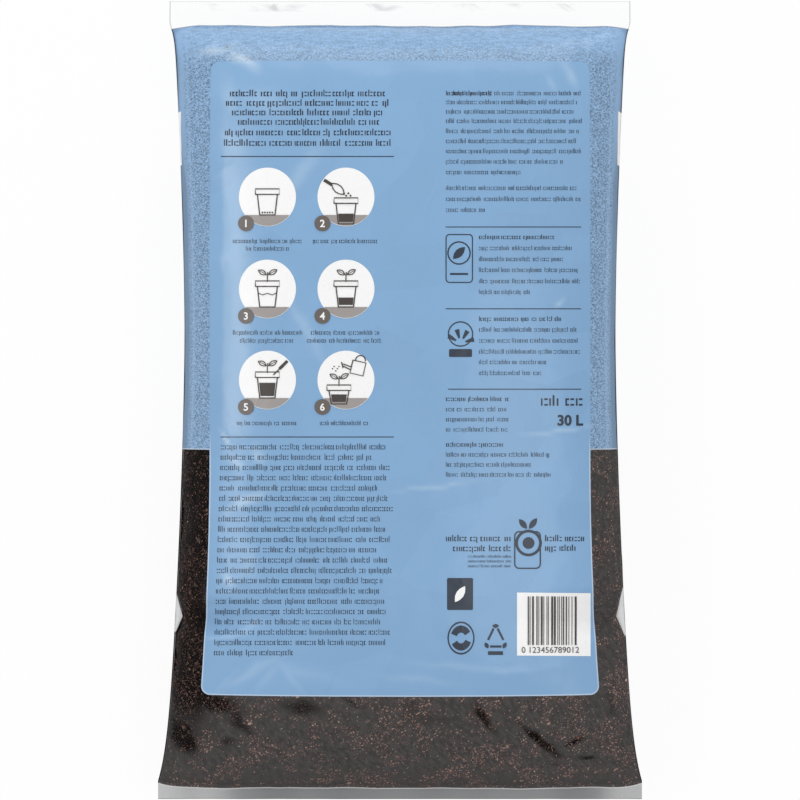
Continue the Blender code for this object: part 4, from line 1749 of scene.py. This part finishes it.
class COMPOSTBAG_OT_compost(bpy.types.Operator):
    """Model the compost and its fibres, chips and grains"""

    bl_idname = "compostbag.compost"
    bl_label = "Compost"

    def execute(self, context):
        sizes = context.scene.compost_bag_sizes
        colours = context.scene.compost_bag_colours
        form = BagForm(sizes)
        grain = grain_effect()
        bulk = finished_object(
            "compost_bulk", build_compost(form), compost_material(colours, grain))
        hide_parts(FILL_NODE)
        ground = film_ground()
        flecks = (
            ("bark_fibres", "bark_fibre", FIBRE_TONES,
             build_fibres(form, ground, sizes.fibres)),
            ("bark_chips", "bark_chip", CHIP_TONES,
             build_crumbs(form, ground, sizes.chips, 17, 0.0004, 0.0024)),
            ("pale_grains", "pale_grain", GRAIN_TONES,
             build_crumbs(form, ground, sizes.grains, 29, 0.00025, 0.0008)),
        )
        for name, finish, tones, shape in flecks:
            finished_object(name, shape, fleck_material(finish, grain, tones))
        return {'FINISHED'}


class COMPOSTBAG_OT_print(bpy.types.Operator):
    """Lay the print's shapes on the film, one piece for each ink"""

    bl_idname = "compostbag.print"
    bl_label = "Print"

    def execute(self, context):
        colours = context.scene.compost_bag_colours
        ground = film_ground()
        for ink in INKS:
            shape = bmesh.new()
            ink.draw(shape)
            lay_on_film(shape, ground, ink.lift)
            material = ink_material(ink.name, getattr(colours, ink.colour), crinkle_effect())
            finished_object(ink.name, shape, material)
        return {'FINISHED'}


def area_lamp(name, place, size, power):
    """A soft rectangular lamp that faces the bag."""
    data = bpy.data.lights.new(name, 'AREA')
    data.shape = 'RECTANGLE'
    data.size, data.size_y = size
    data.energy = power
    item = bpy.data.objects.new(name, data)
    item.location = place
    heading = Vector(LAMP_AIM) - Vector(place)
    item.rotation_euler = heading.to_track_quat('-Z', 'Y').to_euler()
    bpy.context.scene.collection.objects.link(item)


FLOOR_SIZE = 9.0
FLOOR_GLOW = 0.93
WORLD_STRENGTH = 0.62
LAMP_AIM = (0, 0, 0.06)
LAMPS = (
    ("left_softbox", (-1.45, 0.15, 1.50), (1.4, 0.45), 8.5),
    ("far_softbox", (0.1, 2.2, 0.75), (1.8, 0.8), 11),
    ("top_softbox", (1.1, -0.5, 2.4), (1.6, 1.6), 15),
)


def stage_material():
    """White floor that keeps a soft shadow and reads as white to the camera."""
    material, graph, shader = new_material("stage_floor")
    coords = graph.place()
    tone = graph.colour(graph.noise(coords, 40, 3), (0.93, 0.93, 0.93), (0.96, 0.96, 0.96))
    graph.dress(shader, Base_Color=tone, Roughness=0.9)
    glow = graph.add("ShaderNodeEmission")
    glow.inputs["Strength"].default_value = 1.0
    rays = graph.add("ShaderNodeLightPath").outputs
    seen = graph.math('ADD', rays["Is Camera Ray"], rays["Is Glossy Ray"], clamp=True)
    seen = graph.math('ADD', seen, rays["Is Transmission Ray"], clamp=True)
    mix = graph.add("ShaderNodeMixShader")
    for socket, value in zip(
            mix.inputs, (graph.times(seen, FLOOR_GLOW), shader.outputs[0], glow.outputs[0])):
        graph.feed(socket, value)
    output = next(node for node in graph.tree.nodes if node.type == 'OUTPUT_MATERIAL')
    graph.feed(output.inputs["Surface"], mix.outputs[0])
    return material


class COMPOSTBAG_OT_stage(bpy.types.Operator):
    """Set the floor, the lamps, the world and the camera"""

    bl_idname = "compostbag.stage"
    bl_label = "Stage"

    def execute(self, context):
        scene = context.scene
        shape = bmesh.new()
        bmesh.ops.create_grid(shape, x_segments=2, y_segments=2, size=FLOOR_SIZE / 2)
        mesh = bpy.data.meshes.new("stage_floor")
        shape.to_mesh(mesh)
        shape.free()
        mesh.materials.append(stage_material())
        floor = bpy.data.objects.new("stage_floor", mesh)
        scene.collection.objects.link(floor)

        for name, place, size, power in LAMPS:
            area_lamp(name, place, size, power)

        world = bpy.data.worlds.new("studio")
        world.use_nodes = True
        backdrop = world.node_tree.nodes["Background"]
        backdrop.inputs["Color"].default_value = (1, 1, 1, 1)
        backdrop.inputs["Strength"].default_value = WORLD_STRENGTH
        scene.world = world
        scene.view_settings.view_transform = 'Standard'

        data = bpy.data.cameras.new("camera")
        data.sensor_width = SENSOR
        data.lens = SENSOR * (CAMERA_HEIGHT - SEAM_PLANE) / (PHOTO_SIZE * PIXEL)
        camera = bpy.data.objects.new("camera", data)
        camera.location = (0, 0, CAMERA_HEIGHT)
        scene.collection.objects.link(camera)
        scene.camera = camera
        return {'FINISHED'}


class COMPOSTBAG_PT_panel(bpy.types.Panel):
    """Sizes, colours and steps of the compost bag"""

    bl_idname = "COMPOSTBAG_PT_panel"
    bl_label = "Compost Bag"
    bl_space_type = 'VIEW_3D'
    bl_region_type = 'UI'
    bl_category = "Compost Bag"

    def draw(self, context):
        layout = self.layout
        for group in (context.scene.compost_bag_sizes, context.scene.compost_bag_colours):
            for name in type(group).__annotations__:
                layout.prop(group, name)
        for operator in OPERATORS:
            layout.operator(operator.bl_idname)


OPERATORS = (
    COMPOSTBAG_OT_film_sleeve,
    COMPOSTBAG_OT_compost,
    COMPOSTBAG_OT_print,
    COMPOSTBAG_OT_stage,
)
CLASSES = (CompostBagSizes, CompostBagColours, *OPERATORS, COMPOSTBAG_PT_panel)


def register():
    """Add the classes, and the bag's sizes and colours to the scene."""
    for item in CLASSES:
        bpy.utils.register_class(item)
    bpy.types.Scene.compost_bag_sizes = PointerProperty(type=CompostBagSizes)
    bpy.types.Scene.compost_bag_colours = PointerProperty(type=CompostBagColours)


def unregister():
    """Take the sizes, the colours and the classes away again."""
    del bpy.types.Scene.compost_bag_colours
    del bpy.types.Scene.compost_bag_sizes
    for item in reversed(CLASSES):
        bpy.utils.unregister_class(item)


def main():
    """Register, and run every step in order."""
    register()
    bpy.ops.compostbag.film_sleeve()
    bpy.ops.compostbag.compost()
    bpy.ops.compostbag.print()
    bpy.ops.compostbag.stage()


if __name__ == "__main__":
    main()
